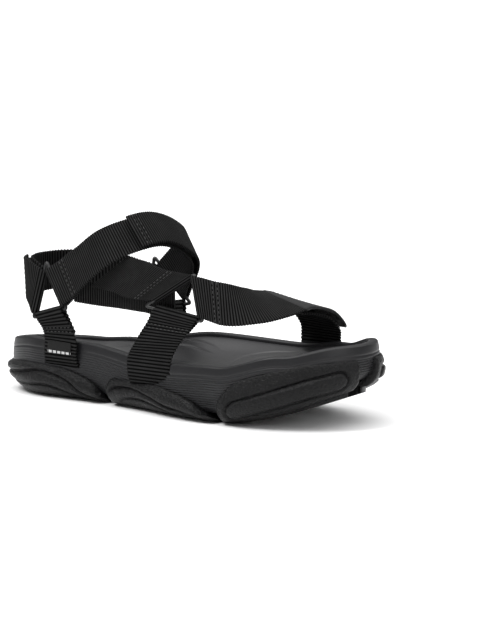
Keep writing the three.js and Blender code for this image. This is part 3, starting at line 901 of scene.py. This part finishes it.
def outsole_pods() -> list[Pod]:
    """The six pods, from the heel forward.

    Returns:
        The pods, ready to build.
    """
    lateral, medial = Side.LATERAL, Side.MEDIAL

    def tip(y: float) -> float:
        """The t near the toe at which the outline passes a Y."""
        t = np.linspace(0.42, 0.58, 900)
        return float(np.interp(y, SOLE.at(t)[:, 1], t))

    heel_marks = [
        PodLine([(0.0, 0.16), (0.06, 0.3), (0.13, 0.66), (0.22, 0.8), (0.32, 0.66), (0.5, 0.6),
                 (0.68, 0.66), (0.78, 0.8), (0.87, 0.66), (0.94, 0.3), (1.0, 0.16)], 1.6, 2.0, 1.0),
        PodLine([(0.06, 0.08), (0.12, 0.22), (0.2, 0.4), (0.32, 0.32), (0.5, 0.36),
                 (0.68, 0.32), (0.8, 0.4), (0.88, 0.22), (0.94, 0.08)], 1.4, 1.8, 0.8),
    ]
    heel_top = ((-0.1, 17), (0.02, 21), (0.12, 24), (0.2, 23), (0.27, 19), (0.324, 12), (0.34, 5), (0.4, 3))
    mid_top = ((0.3, 6), (0.352, 14), (0.4, 20), (0.5, 20.5), (0.565, 18.6), (0.624, 14.5), (0.68, 6),
               (0.75, 3))
    fore_top = ((0.6, 8), (0.705, 19), (0.76, 30), (0.82, 36), (0.88, 41), (0.93, 44), (1.06, 46))
    mid_marks = [
        PodLine([(0.04, 0.5), (0.12, 0.72), (0.26, 0.74), (0.44, 0.6), (0.6, 0.42), (0.78, 0.3), (0.94, 0.1)],
                1.6, 2.0, 1.1),
        PodLine([(0.12, 0.2), (0.22, 0.4), (0.36, 0.42), (0.52, 0.26), (0.66, 0.08)], 1.4, 1.8, 0.8),
    ]
    mid_marks_back = [
        PodLine([(1 - s, h) for s, h in reversed(mark.points)], mark.depth, mark.width, mark.swell)
        for mark in mid_marks
    ]
    return [
        Pod("outsole_heel", SOLE.turn_at(0.335, medial) - 1, SOLE.turn_at(0.335, lateral),
            heel_top, heel_marks, None),
        Pod("outsole_mid_lateral", SOLE.turn_at(0.352, lateral), SOLE.turn_at(0.692, lateral), mid_top,
            mid_marks),
        Pod("outsole_mid_medial", SOLE.turn_at(0.692, medial), SOLE.turn_at(0.352, medial), mid_top,
            mid_marks_back, medial),
        Pod("outsole_forefoot_lateral", SOLE.turn_at(0.703, lateral), tip(-6.3), fore_top,
            [PodOval((0.15, 0.33), (0.84, 0.5), 6.3, 1.5)], round_end=3),
        Pod("outsole_forefoot_medial", SOLE.turn_at(0.9, medial), SOLE.turn_at(0.703, medial), fore_top,
            [PodOval((0.26, 0.48), (0.72, 0.44), 6.0, 1.5)], medial),
        Pod("outsole_toe", tip(6.3), SOLE.turn_at(0.915, medial), fore_top,
            [PodOval((0.3, 0.48), (0.68, 0.5), 5.0, 1.5)], medial, round_start=3),
    ]


# -------------------------------------------------------------------- rings

ROD_RADIUS = 1.2
WEBBING_THICKNESS = 2.0
WEBBING_WIDTH = 28
ANKLE_WIDTH = 25.5
MID_LOOP_WIDTH = 36
LINING_WIDTH = 16
RISER_WIDTH = 32
TAB_WIDTH = 36
TAPE_THICKNESS = 0.8
LAYER_GAP = 0.4
LAYER_STEP = WEBBING_THICKNESS + 2 * TAPE_THICKNESS + 3 * LAYER_GAP
EYE_RADIUS = ROD_RADIUS + GAP + WEBBING_THICKNESS
INSTEP_HEIGHT = 117
RING_HEIGHT = 77
HEEL_STRAP_HEIGHT = 81
FOREFOOT_HEIGHT = 72


class Bar(Enum):
    """The sides of a triangle ring."""

    FRONT = 0
    LOWER = 1
    BACK = 2


@dataclass
class Ring:
    """A triangle ring of round rod: top, lower front and lower back corners."""

    node: str
    corners: Array
    bend: float = 2.4
    sides: int = 16

    def __post_init__(self) -> None:
        """Turns the corners into an array."""
        self.corners = np.array(self.corners, float)

    def along(self, bar: int) -> Array:
        """The direction of one side."""
        return unit(self.corners[(bar + 1) % 3] - self.corners[bar % 3])

    def room(self, corner: int) -> float:
        """How far a folded end stays from a corner."""
        turn = math.acos(float(np.clip(self.along(corner) @ -self.along(corner + 2), -1, 1)))
        return (EYE_RADIUS + GAP) / math.tan(turn / 2)

    def eye(self, bar: Bar) -> tuple[Array, float]:
        """The middle and the width of the room for a folded end on one side."""
        line = self.along(bar.value)
        start = self.corners[bar.value] + line * self.room(bar.value)
        end = self.corners[(bar.value + 1) % 3] - line * self.room((bar.value + 1) % 3)
        return (start + end) / 2, float(np.linalg.norm(end - start))

    def outward(self) -> Array:
        """The direction square to the ring, away from the foot."""
        square = unit(np.cross(self.along(0), self.along(1)))
        return -square if square[1] * self.corners[0, 1] < 0 else square

    def build(self) -> bpy.types.Object:
        """Makes the ring as one rod with round bends.

        Returns:
            The ring piece.
        """
        path = []
        for i in range(3):
            corner, before, after = self.corners[i], -self.along(i + 2), self.along(i)
            first, last = corner + before * self.bend, corner + after * self.bend
            for q in np.linspace(0, 1, 7):
                path.append(first * (1 - q) ** 2 + corner * 2 * q * (1 - q) + last * q**2)
        path = np.array(path)
        heading = unit(np.roll(path, -1, axis=0) - np.roll(path, 1, axis=0))
        square = self.outward()
        flank = unit(np.cross(heading, square))
        rows = []
        for turn in np.linspace(0, 2 * math.pi, self.sides, endpoint=False):
            rows.append(path + ROD_RADIUS * (math.cos(turn) * square + math.sin(turn) * flank))
        rows.append(rows[0])
        obj = wrapped_grid(self.node, np.array(rows), closed=True)
        finish_piece(obj, ACETAL, Body.SANDAL, [self.node])
        return obj


@dataclass
class RingSet:
    """The three triangle rings."""

    heel: Ring = field(default_factory=lambda: Ring("ring_heel_lateral", [
        [station(0.17), -33.5, RING_HEIGHT + 17], [station(0.245), -38.5, RING_HEIGHT - 13],
        [station(0.137), -37, RING_HEIGHT - 22]]))
    front: Ring = field(default_factory=lambda: Ring("ring_front_lateral", [
        [station(0.622), -38.5, RING_HEIGHT + 18.5], [station(0.655), -43, RING_HEIGHT - 11],
        [station(0.49), -41.5, RING_HEIGHT - 5]]))
    medial: Ring = field(default_factory=lambda: Ring("ring_medial", [
        [station(0.312), 35.5, RING_HEIGHT + 16], [station(0.415), 38.5, RING_HEIGHT - 15],
        [station(0.295), 37, RING_HEIGHT - 20]]))


RINGS = RingSet()


# ------------------------------------------------------------------- straps


@dataclass
class Strip:
    """Sections along a tape: middle, width direction, outward direction and width at each."""

    at: Array
    across: Array
    outward: Array
    width: Array

    def joined(self, other: "Strip") -> "Strip":
        """This strip followed by another."""
        return Strip(*(np.concatenate([getattr(self, k), getattr(other, k)])
                       for k in ("at", "across", "outward", "width")))

    def reversed(self) -> "Strip":
        """The strip run the other way."""
        return Strip(self.at[::-1], self.across[::-1], self.outward[::-1], self.width[::-1])

    def distance(self) -> Array:
        """How far along the strip each section lies."""
        return np.concatenate([[0], np.cumsum(np.linalg.norm(np.diff(self.at, axis=0), axis=1))])

    def sampled(self, places: Array) -> "Strip":
        """Sections at chosen distances along the strip."""
        s = self.distance()

        def mixed(values: Array) -> Array:
            """Each column of values at the new places."""
            return np.stack([np.interp(places, s, column) for column in values.T], axis=1)

        return Strip(mixed(self.at), unit(mixed(self.across)), unit(mixed(self.outward)),
                     np.interp(places, s, self.width))

    def lifted(self, lift: Any) -> "Strip":
        """The strip moved outward."""
        moved = self.at + self.outward * np.reshape(lift, (-1, 1))
        return Strip(moved, self.across, self.outward, self.width)


def place(at: Sequence[float], across: Sequence[float], width: float = WEBBING_WIDTH) -> tuple:
    """A place along a strap: its middle, the direction of its width, and its width."""
    return np.array(at, float), unit(np.array(across, float)), width


def bar_place(ring: Ring, bar: Bar, inward: float = 0.0, spread: float = 0.0) -> tuple:
    """The place where a strap reaches a ring's side.

    Args:
        ring: the ring.
        bar: the side that the strap is folded round.
        inward: how far inside the side the strap passes.
        spread: extra width that bunches up towards the ring's corners.

    Returns:
        The strap's middle, width direction and width there.
    """
    middle, width = ring.eye(bar)
    return middle - ring.outward() * inward, ring.along(bar.value), width + spread


@dataclass
class StrapPath:
    """A strap's route through its places."""

    places: Sequence[tuple]

    def __post_init__(self) -> None:
        """Turns each width direction to agree with the one before."""
        self.ats = np.array([p[0] for p in self.places])
        directions = [self.places[0][1]]
        for _, across, _ in self.places[1:]:
            directions.append(-across if across @ directions[-1] < 0 else across)
        self.directions = np.array(directions)
        self.widths = np.array([p[2] for p in self.places], float)

    def strip(self, start: float = 0, end: float = 1, lift: float = 0, widen: float = 0) -> Strip:
        """Sections of the strap between two shares of its route.

        Args:
            start: the first share.
            end: the last share.
            lift: distance outward from the route.
            widen: extra width on each side.

        Returns:
            The strip.
        """
        t = np.linspace(start, end, 260)
        at = spline(self.ats, t)
        across = unit(spline(self.directions, t))
        low, high = np.clip(t - 1e-4, 0, 1), np.clip(t + 1e-4, 0, 1)
        outward = unit(np.cross(spline(self.ats, high) - spline(self.ats, low), across))
        core = np.stack([np.clip(at[:, 0], station(0.25), station(0.77)), 0 * t, 0 * t + ARCH_RIM], axis=1)
        outward *= np.sign(np.sum(outward * (at - core), axis=1))[:, None]
        width = np.interp(t * (len(self.widths) - 1), np.arange(len(self.widths)), self.widths)
        return Strip(at, across, outward, width + 2 * widen).lifted(lift)


def folded(strip: Strip, lap: float = 15, radius: float = 2.5, rise: float = 12) -> Strip:
    """A strip whose far end passes round a bar and comes back underneath.

    Args:
        strip: the strip, whose last middle is the bar's.
        lap: how far the end comes back.
        radius: the fold's radius at the middle of the webbing.
        rise: the length over which the strip lifts to the fold.

    Returns:
        The longer strip.
    """
    to_end = strip.distance()[-1] - strip.distance()
    near = 1 - smoothstep(to_end, 0, rise)
    outer = strip.lifted(radius * near)
    centre, normal, across, width = strip.at[-1], strip.outward[-1], strip.across[-1], strip.width[-1]
    forward = unit(strip.at[-1] - strip.at[-3])
    turns = np.linspace(0, math.pi, 18)[1:-1, None]
    around = np.cos(turns) * normal + np.sin(turns) * forward
    count = len(turns)
    arc = Strip(centre + radius * around, np.tile(across, (count, 1)), around, np.full(count, width))
    back = strip.reversed()
    gone = back.distance()
    tail = Strip(*(v[gone <= lap] for v in (back.at, back.across, back.outward, back.width)))
    inward = radius + (WEBBING_THICKNESS * 1.03 - radius) * smoothstep(gone[gone <= lap], 0, rise)
    tail = tail.lifted(-inward)
    tail.outward = -tail.outward
    return outer.joined(arc).joined(tail)


@dataclass
class Webbing:
    """A woven tape swept along a strip, with cross ribs and rounded selvedges."""

    name: str
    strip: Strip
    look: Finish = GROSGRAIN
    slot: Slot = Slot.WEBBING
    body: Optional[Body] = Body.SANDAL
    stands_for: Sequence[str] = ()
    thickness: float = WEBBING_THICKNESS
    rib_pitch: float = 2.4
    rib_depth: float = 0.55
    steps_per_rib: int = 7
    fuzz: float = 0.0

    def section(self, columns: int = 15) -> tuple[Array, Array]:
        """The closed section for a width of 2 and a thickness of 2.

        Args:
            columns: points across each flat.

        Returns:
            The flats' shares across, and the points' places as (edge x, flat share, height).
        """
        flat = np.linspace(-1, 1, columns)
        turns = np.linspace(0, math.pi, 6)[1:-1]
        across = np.concatenate([flat, np.ones(4), flat[::-1], -np.ones(4)])
        bulge = np.concatenate([np.zeros(columns), np.sin(turns), np.zeros(columns), -np.sin(turns)])
        height = np.concatenate([np.ones(columns), np.cos(turns), -np.ones(columns), -np.cos(turns)])
        return across, np.stack([bulge, height], axis=1)

    def build(self) -> bpy.types.Object:
        """Makes the tape.

        Returns:
            The tape piece.
        """
        total = self.strip.distance()[-1]
        rows = max(12, int(total / self.rib_pitch * self.steps_per_rib))
        s = np.linspace(0, total, rows)
        strip = self.strip.sampled(s)
        across, edge = self.section()
        valley = (0.5 + 0.5 * np.cos(2 * math.pi * s / self.rib_pitch)) ** 1.3
        ends = smoothstep(s, 0, 1.2) * (1 - smoothstep(s, total - 1.2, total))
        half = self.thickness / 2 * (0.7 + 0.3 * ends) - self.rib_depth * valley
        inner = strip.width / 2 - self.thickness / 2
        selvedge = 1 + 0.1 * groove(np.abs(across) - 0.93, 0.12)
        x = inner[:, None] * across[None, :] + half[:, None] * edge[None, :, 0]
        z = half[:, None] * (edge[:, 1] * selvedge)[None, :]
        if self.fuzz:
            z = z + np.random.default_rng(SEED).uniform(-self.fuzz, self.fuzz, z.shape)
        points = strip.at[:, None] + strip.across[:, None] * x[:, :, None]
        points = points + strip.outward[:, None] * z[:, :, None]
        points = np.concatenate([points, points[:, :1]], axis=1)
        place_across = np.cumsum(np.abs(np.diff(np.append(x[0], x[0, 0]), prepend=x[0, 0])))
        place_across = place_across - place_across[7]
        uv = np.stack(np.broadcast_arrays(s[:, None] * MM, place_across[None, :] * MM), axis=2)
        obj = wrapped_grid(self.name, points, uv=uv, cap=True, crease=65)
        finish_piece(obj, self.look, self.body, self.stands_for)
        return obj


@dataclass
class Stitching:
    """Rows of thread across or along a strap's outer face."""

    name: str
    body: Body = Body.SANDAL
    length: float = 2.1
    thread: float = 0.55
    pitch: float = 3.1

    def row(self, strip: Strip, distance: float, margin: float = 2.0, lift: float = 1.1) -> list[Array]:
        """Stitches across a strip.

        Args:
            strip: the strap's outer layer.
            distance: how far along the row lies; less than 0 counts from the end.
            margin: distance kept from each edge.
            lift: height of the thread over the strap's middle.

        Returns:
            A matrix for each stitch.
        """
        total = strip.distance()[-1]
        spot = strip.sampled(np.array([distance % total]))
        half = spot.width[0] / 2 - margin
        count = int(2 * half / self.pitch) + 1
        return [self.matrix(spot.at[0] + spot.across[0] * offset, spot.across[0], spot.outward[0], lift)
                for offset in np.linspace(-half, half, count)]

    def matrix(self, at: Array, heading: Array, outward: Array, lift: float) -> Array:
        """A stitch's own axes and place."""
        place_of = np.eye(4)
        place_of[:3, 0] = heading
        place_of[:3, 1] = np.cross(outward, heading)
        place_of[:3, 2] = outward
        place_of[:3, 3] = at + outward * lift
        return place_of

    def build(self, places: Sequence[Array]) -> bpy.types.Object:
        """Sews the stitches.

        Args:
            places: a matrix for each stitch.

        Returns:
            The stitches as one piece.
        """
        bpy.ops.object.select_all(action="DESELECT")
        bpy.ops.mesh.primitive_uv_sphere_add(segments=8, ring_count=5, radius=1)
        bead = bpy.context.active_object
        half = self.thread / 2 * MM
        bead.data.transform(Matrix.Diagonal((self.length / 2 * MM, half, half, 1)))
        obj = copies(self.name, bead, places)
        finish_piece(obj, THREAD, self.body)
        return obj


def riser_places(share: float, side: Side, slot_height: float, width: float) -> list[tuple]:
    """A riser's first places: in its slot in the sole wall, then up outside the rim."""
    x = station(share)
    sign = side.value
    wall = SOLE.side_at(x, side) + sign * (WEBBING_THICKNESS / 2 + GAP + 1)
    rim = float(SOLE.rim(np.array(x), np.array(sign * HEEL_HALF)))
    spots = ((wall - sign * 9, slot_height - 3), (wall - sign * 2.5, slot_height - 0.5),
             (wall, slot_height + 5), (wall, rim + 2))
    return [place([x, y, z], [1, 0, 0], width) for y, z in spots]


@dataclass
class Upper:
    """The webbing upper: risers and loops, straps, closures and their stitching."""

    tab_top: float = 0.95
    tab_start: float = 0.55
    flap_start: float = 0.44
    heel_flap_start: float = 0.72
    fine_depth: float = 0.38

    def __post_init__(self) -> None:
        """Sets out each strap's route."""
        heel, front, medial = RINGS.heel, RINGS.front, RINGS.medial
        self.heel_loop = StrapPath([*riser_places(0.219, Side.LATERAL, 25, WEBBING_WIDTH),
                                    bar_place(heel, Bar.LOWER, spread=4)])
        self.mid_loop = StrapPath([*riser_places(0.503, Side.LATERAL, 21, MID_LOOP_WIDTH),
                                   place([station(0.535), -43.5, 52], [1, 0, 0], MID_LOOP_WIDTH),
                                   bar_place(front, Bar.LOWER, spread=5)])
        self.arch_riser = StrapPath([*riser_places(0.362, Side.MEDIAL, 24, WEBBING_WIDTH),
                                     bar_place(medial, Bar.LOWER, spread=4)])
        self.forefoot_riser = StrapPath([
            *riser_places(0.766, Side.MEDIAL, 30, RISER_WIDTH),
            place([station(0.773), 46.5, FOREFOOT_HEIGHT - 18], [-1, 0, 0.05], RISER_WIDTH),
            place([station(0.763), 39, FOREFOOT_HEIGHT - 9], [-1, 0, 0.1], RISER_WIDTH),
            place([station(0.75), 26, FOREFOOT_HEIGHT - 3.5], [-1, -0.05, 0.2], RISER_WIDTH),
            place([station(0.743), 13, FOREFOOT_HEIGHT - 1], [-1, -0.05, 0.25], RISER_WIDTH)])
        self.ankle = StrapPath([
            bar_place(heel, Bar.FRONT, spread=6),
            place([station(0.295), -37.2, INSTEP_HEIGHT - 21], [-0.5, 0.1, 0.86], ANKLE_WIDTH),
            place([station(0.352), -34.5, INSTEP_HEIGHT - 9], [-0.56, 0.1, 0.8], ANKLE_WIDTH),
            place([station(0.398), -23.5, INSTEP_HEIGHT - 2], [-0.62, 0.1, 0.76], ANKLE_WIDTH),
            place([station(0.424), -6, INSTEP_HEIGHT], [-0.64, 0.05, 0.77], ANKLE_WIDTH),
            place([station(0.437), 12, INSTEP_HEIGHT - 6.5], [-0.6, 0.1, 0.8], ANKLE_WIDTH),
            place([station(0.427), 28, INSTEP_HEIGHT - 17.5], [-0.55, 0.1, 0.83], ANKLE_WIDTH),
            bar_place(medial, Bar.FRONT, LAYER_STEP / 2, 5)])
        self.heel = StrapPath([
            bar_place(medial, Bar.BACK, spread=5),
            place([station(0.206), 37, HEEL_STRAP_HEIGHT - 2], [0, 0, 1]),
            place([station(0.129), 29, HEEL_STRAP_HEIGHT], [0, 0, 1]),
            place([station(0.085), 14, HEEL_STRAP_HEIGHT + 1], [0, 0, 1]),
            place([station(0.072), -2, HEEL_STRAP_HEIGHT + 1], [0, 0, 1]),
            place([station(0.085), -17, HEEL_STRAP_HEIGHT + 1], [0, 0, 1]),
            place([station(0.113), -28, HEEL_STRAP_HEIGHT], [0, 0, 1]),
            bar_place(heel, Bar.BACK, LAYER_STEP / 2, 6)])
        self.side_band = StrapPath([
            place([station(0.345), -28.8, 90], [0.79, 0.07, 0.6], 36),
            place([station(0.41), -31.8, 89], [0.79, 0, 0.6], 38),
            place([station(0.475), -36.4, 86], [0.79, 0, 0.6], 36),
            bar_place(front, Bar.BACK, spread=7)])
        self.lining = StrapPath([
            place([station(0.252), -33, 76], [0, 0, 1], LINING_WIDTH),
            place([station(0.3), -27.2, 74], [0, 0, 1], LINING_WIDTH),
            place([station(0.37), -26.4, 73.5], [0, 0, 1], LINING_WIDTH),
            place([station(0.46), -31.2, 73.5], [0, 0, 1], LINING_WIDTH),
            place([station(0.555), -34.8, 73.5], [0, 0, 1], 20)])
        tab = self.forefoot_riser.strip(self.tab_top - 0.01, self.tab_top, LAYER_STEP)
        heading = unit(tab.at[-1] - tab.at[0])
        self.forefoot = StrapPath([
            bar_place(front, Bar.FRONT, spread=8),
            place([station(0.695), -38.5, FOREFOOT_HEIGHT + 6], [-0.25, 0.25, 0.92], 29),
            place([station(0.735), -24, FOREFOOT_HEIGHT + 4], [-0.6, 0.32, 0.7], 30),
            place([station(0.747), -5, FOREFOOT_HEIGHT + 3], [-0.86, 0.12, 0.45], 33),
            place(tab.at[-1] + heading * GAP, tab.across[-1], TAB_WIDTH)])

    def slots(self) -> list[bpy.types.Object]:
        """The rooms that the risers' lower ends take in the sole.

        Returns:
            One closed cutter for each riser.
        """
        made = []
        for path in (self.heel_loop, self.mid_loop, self.arch_riser, self.forefoot_riser):
            strip = path.strip(0, 0.75, widen=GAP).sampled(np.linspace(0, 30, 24))
            half = strip.width[:, None] / 2
            lift = WEBBING_THICKNESS / 2 + GAP
            ring = [strip.at + strip.across * half * x + strip.outward * lift * z
                    for x, z in ((1, 1), (-1, 1), (-1, -1), (1, -1))]
            made.append(wrapped_grid("slot", np.array(ring).transpose(1, 0, 2), closed=True, cap=True))
        return made

    def risers(self) -> None:
        """The four tapes that rise from the sole."""
        for name, path in (("heel_loop_lateral", self.heel_loop), ("mid_loop_lateral", self.mid_loop),
                           ("arch_riser_medial", self.arch_riser)):
            strip = folded(path.strip())
            Webbing(name, strip, stands_for=[name]).build()
            sewn = Stitching(name + "_stitches")
            outer = path.strip()
            end = outer.distance()[-1]
            sewn.build(sewn.row(outer, end - 13.5) + sewn.row(outer, end - 10.8))
        riser = self.forefoot_riser.strip()
        Webbing("forefoot_riser_medial", riser, stands_for=["forefoot_riser_medial"]).build()

    def fine(self, node: str, strip: Strip, body: Body = Body.SANDAL) -> None:
        """Makes one tape of finely ribbed webbing, which stands for its node."""
        Webbing(node, strip, FINE_GROSGRAIN, body=body, stands_for=[node], rib_pitch=FINE_GROSGRAIN.rib,
                rib_depth=self.fine_depth).build()

    def label(self) -> None:
        """The small woven label on the heel loop."""
        strip = self.heel_loop.strip(0.56, 0.71, 1.4, widen=-4)
        Webbing("woven_label", strip, LABEL_WEAVE, Slot.LABEL, stands_for=["woven_label"],
                thickness=TAPE_THICKNESS, rib_pitch=0.7, rib_depth=0.03).build()

    def ankle_strap(self) -> None:
        """The ankle strap, from the heel ring over the instep to the medial ring."""
        strip = folded(self.ankle.strip().reversed()).reversed()
        self.fine("ankle_strap", strip)
        outer = self.ankle.strip()
        sewn = Stitching("ankle_strap_stitches")
        sewn.build(sewn.row(outer, 11, lift=1.15) + sewn.row(outer, 14, lift=1.15))

    def heel_strap(self) -> None:
        """The heel strap, from the medial ring round the back to the heel ring."""
        strip = folded(self.heel.strip().reversed()).reversed()
        Webbing("heel_strap", strip, stands_for=["heel_strap"]).build()
        outer = self.heel.strip()
        sewn = Stitching("heel_strap_stitches")
        sewn.build(sewn.row(outer, 11) + sewn.row(outer, 13.8))

    def side_and_lining(self) -> None:
        """The wide side band, sewn round the front ring, and the narrow tape behind it."""
        outer = self.side_band.strip()
        self.fine("side_band", folded(outer))
        self.fine("side_band_lining", self.lining.strip())
        end = outer.distance()[-1]
        sewn = Stitching("side_band_stitches")
        sewn.build(sewn.row(outer, end - 19) + sewn.row(outer, end - 16))

    def forefoot_strap(self) -> None:
        """The forefoot strap, from the front ring over the toes to the pull tab."""
        strip = folded(self.forefoot.strip().reversed()).reversed()
        self.fine("forefoot_strap", strip)
        outer = self.forefoot.strip()
        sewn = Stitching("forefoot_strap_stitches")
        sewn.build(sewn.row(outer, 12, lift=1.15) + sewn.row(outer, 15, lift=1.15))

    def tapes(self) -> None:
        """The loop and hook tapes of each closure."""
        spans = (("ankle", self.ankle, 0.48, 0.8, Body.ANKLE), ("heel", self.heel, 0.74, 0.9, Body.HEEL),
                 ("forefoot", self.forefoot_riser, 0.6, 0.85, Body.FOREFOOT))
        loop_lift = (WEBBING_THICKNESS + TAPE_THICKNESS) / 2 + LAYER_GAP
        for name, path, start, end, body in spans:
            layers = (("loop", loop_lift, LOOP_PILE, Body.SANDAL),
                      ("hook", loop_lift + TAPE_THICKNESS + LAYER_GAP, HOOK_FIELD, body))
            for kind, lift, look, carrier in layers:
                node = f"{name}_{kind}_tape"
                Webbing(node, path.strip(start, end, lift, -2), look, Slot.TAPE, carrier, [node],
                        TAPE_THICKNESS, rib_pitch=1.5, rib_depth=0.05, fuzz=0.09).build()

    def flap(self, node: str, path: StrapPath, start: float, body: Body, joint: str) -> None:
        """A closure's flap and the webbing's fold round its ring.

        Args:
            node: the flap's name.
            path: the strap that the flap lies on.
            start: where the flap's free end lies.
            body: the flap's body.
            joint: the name of the fold piece.
        """
        strip = path.strip(start, 1, LAYER_STEP)
        self.fine(node, strip, body)
        sewn = Stitching(node + "_stitches", body)
        sewn.build(sewn.row(strip, 4.5) + sewn.row(strip, 7.3))
        under = path.strip()
        forward = unit(under.at[-1] - under.at[-3])
        normal, radius = under.outward[-1], LAYER_STEP / 2
        turns = np.linspace(0, math.pi, 30)[:, None]
        around = np.cos(turns) * normal + np.sin(turns) * forward
        fold = Strip(under.at[-1] + radius * (normal + around), np.tile(under.across[-1], (30, 1)), around,
                     np.full(30, under.width[-1]))
        piece = Webbing(joint, fold, FINE_GROSGRAIN, body=None, rib_pitch=FINE_GROSGRAIN.rib,
                        rib_depth=self.fine_depth).build()
        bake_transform(piece)

    def tab(self) -> None:
        """The pull tab: smooth tape that folds back from the forefoot strap's end."""
        strip = self.forefoot_riser.strip(self.tab_start, self.tab_top, LAYER_STEP,
                                          (TAB_WIDTH - RISER_WIDTH) / 2)
        Webbing("forefoot_tab", strip, TAB_WEAVE, Slot.TAB, Body.FOREFOOT, ["forefoot_tab"],
                rib_pitch=0.9, rib_depth=0.04).build()
        self.tab_hem(strip.reversed())
        sewn = Stitching("forefoot_tab_stitches", Body.FOREFOOT)
        sewn.build(sewn.row(strip, 5) + sewn.row(strip, strip.distance()[-1] - 5))

    def tab_hem(self, tab: Strip, reach: float = 5.0) -> None:
        """The hem that joins the forefoot strap's end to the tab.

        Args:
            tab: the tab's route, from the strap onwards.
            reach: how far the hem laps over each tape.
        """
        strap = self.forefoot.strip()
        total = strap.distance()[-1]
        carried = strap.sampled(np.linspace(total - reach, total, 9))
        freed = tab.sampled(np.linspace(0, reach, 9))
        hem = carried.joined(freed)
        hem.outward = hem.outward * np.sign(hem.outward @ freed.outward[0])[:, None]
        hem.width = np.full(len(hem.at), TAB_WIDTH + 0.6)
        piece = Webbing("forefoot_hem", hem, TAB_WEAVE, Slot.TAB, None, thickness=WEBBING_THICKNESS + 0.5,
                        rib_pitch=0.9, rib_depth=0.04).build()
        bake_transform(piece)

    def build(self) -> None:
        """Makes every piece of the upper."""
        self.risers()
        self.label()
        self.ankle_strap()
        self.heel_strap()
        self.side_and_lining()
        self.forefoot_strap()
        self.tapes()
        self.flap("ankle_flap", self.ankle, self.flap_start, Body.ANKLE, "ankle_fold")
        self.flap("heel_flap", self.heel, self.heel_flap_start, Body.HEEL, "heel_fold")
        self.tab()


# ------------------------------------------------------------------- studio


@dataclass
class Studio:
    """Pale floor, soft light and the camera."""

    azimuth: float = 34
    elevation: float = 9
    distance: float = 1.47
    lens: float = 122
    aim_right: float = 0.0425
    aim_up: float = 0.0565
    floor_size: float = 60
    paper: str = "f6f6f6"
    horizon: float = 0.35
    fill: float = 0.3
    zenith: float = 2.2

    def floor(self) -> None:
        """A wide sheet of pale paper."""
        bpy.ops.object.select_all(action="DESELECT")
        bpy.ops.mesh.primitive_plane_add(size=self.floor_size)
        sheet = bpy.context.active_object
        sheet.name = "studio_floor"
        paper = bpy.data.materials.new("studio_paper")
        paper.use_nodes = True
        shader = paper.node_tree.nodes["Principled BSDF"]
        shader.inputs["Base Color"].default_value = linear(self.paper)
        shader.inputs["Roughness"].default_value = 0.9
        sheet.data.materials.append(paper)

    def light(self, name: str, at: Sequence[float], size: float, power: float) -> None:
        """A square soft light that faces the sandal."""
        lamp = bpy.data.lights.new(name, "AREA")
        lamp.size = size
        lamp.energy = power
        obj = bpy.data.objects.new(name, lamp)
        obj.location = at
        obj.rotation_euler = (Vector((0, 0, 0.05)) - Vector(at)).to_track_quat("-Z", "Y").to_euler()
        bpy.context.scene.collection.objects.link(obj)

    def dome(self, tree: bpy.types.NodeTree) -> None:
        """White light all round, brightest overhead."""
        spot = add_node(tree, "ShaderNodeTexCoord").outputs["Generated"]
        way = add_node(tree, "ShaderNodeSeparateXYZ", {}, {0: spot})
        low = add_node(tree, "ShaderNodeMapRange",
                       {"From Min": 0.03, "From Max": 0.16, "To Min": self.horizon, "To Max": self.fill},
                       {"Value": way.outputs[2]})
        high = add_node(tree, "ShaderNodeMapRange",
                        {"From Min": 0.55, "From Max": 0.85, "To Max": self.zenith},
                        {"Value": way.outputs[2]})
        both = add_node(tree, "ShaderNodeMath", {"operation": "ADD"}, {0: low.outputs[0], 1: high.outputs[0]})
        tree.links.new(both.outputs[0], tree.nodes["Background"].inputs["Strength"])
        tree.nodes["Background"].inputs["Color"].default_value = (1, 1, 1, 1)

    def build(self) -> None:
        """Sets up floor, light and camera."""
        self.floor()
        world = bpy.data.worlds.new("studio")
        world.use_nodes = True
        self.dome(world.node_tree)
        bpy.context.scene.world = world
        bpy.context.scene.view_settings.view_transform = "Standard"
        self.light("key", (-0.5, -1.0, 1.5), 0.5, 18)
        self.light("toe", (1.6, -0.3, 0.7), 0.6, 5)
        a, e = math.radians(self.azimuth), math.radians(self.elevation)
        back = Vector((math.sin(a) * math.cos(e), -math.cos(a) * math.cos(e), math.sin(e)))
        right = Vector((math.cos(a), math.sin(a), 0))
        up = back.cross(right)
        lens = bpy.data.cameras.new("camera")
        lens.lens = self.lens
        camera = bpy.data.objects.new("camera", lens)
        camera.location = right * self.aim_right + up * self.aim_up + back * self.distance
        camera.rotation_euler = (-back).to_track_quat("-Z", "Y").to_euler()
        bpy.context.scene.collection.objects.link(camera)
        bpy.context.scene.camera = camera


def main() -> None:
    """Builds the sandal from the floor up."""
    logging.basicConfig(level=logging.INFO, format="%(message)s")
    Studio().build()
    upper = Upper()
    slots = upper.slots()
    midsole = Midsole().build()
    cut_out(midsole, slots)
    Footbed().build()
    for pod in outsole_pods():
        pod.build(slots)
    discard(slots)
    for ring in (RINGS.heel, RINGS.front, RINGS.medial):
        ring.build()
    upper.build()


if __name__ == "__main__":
    main()
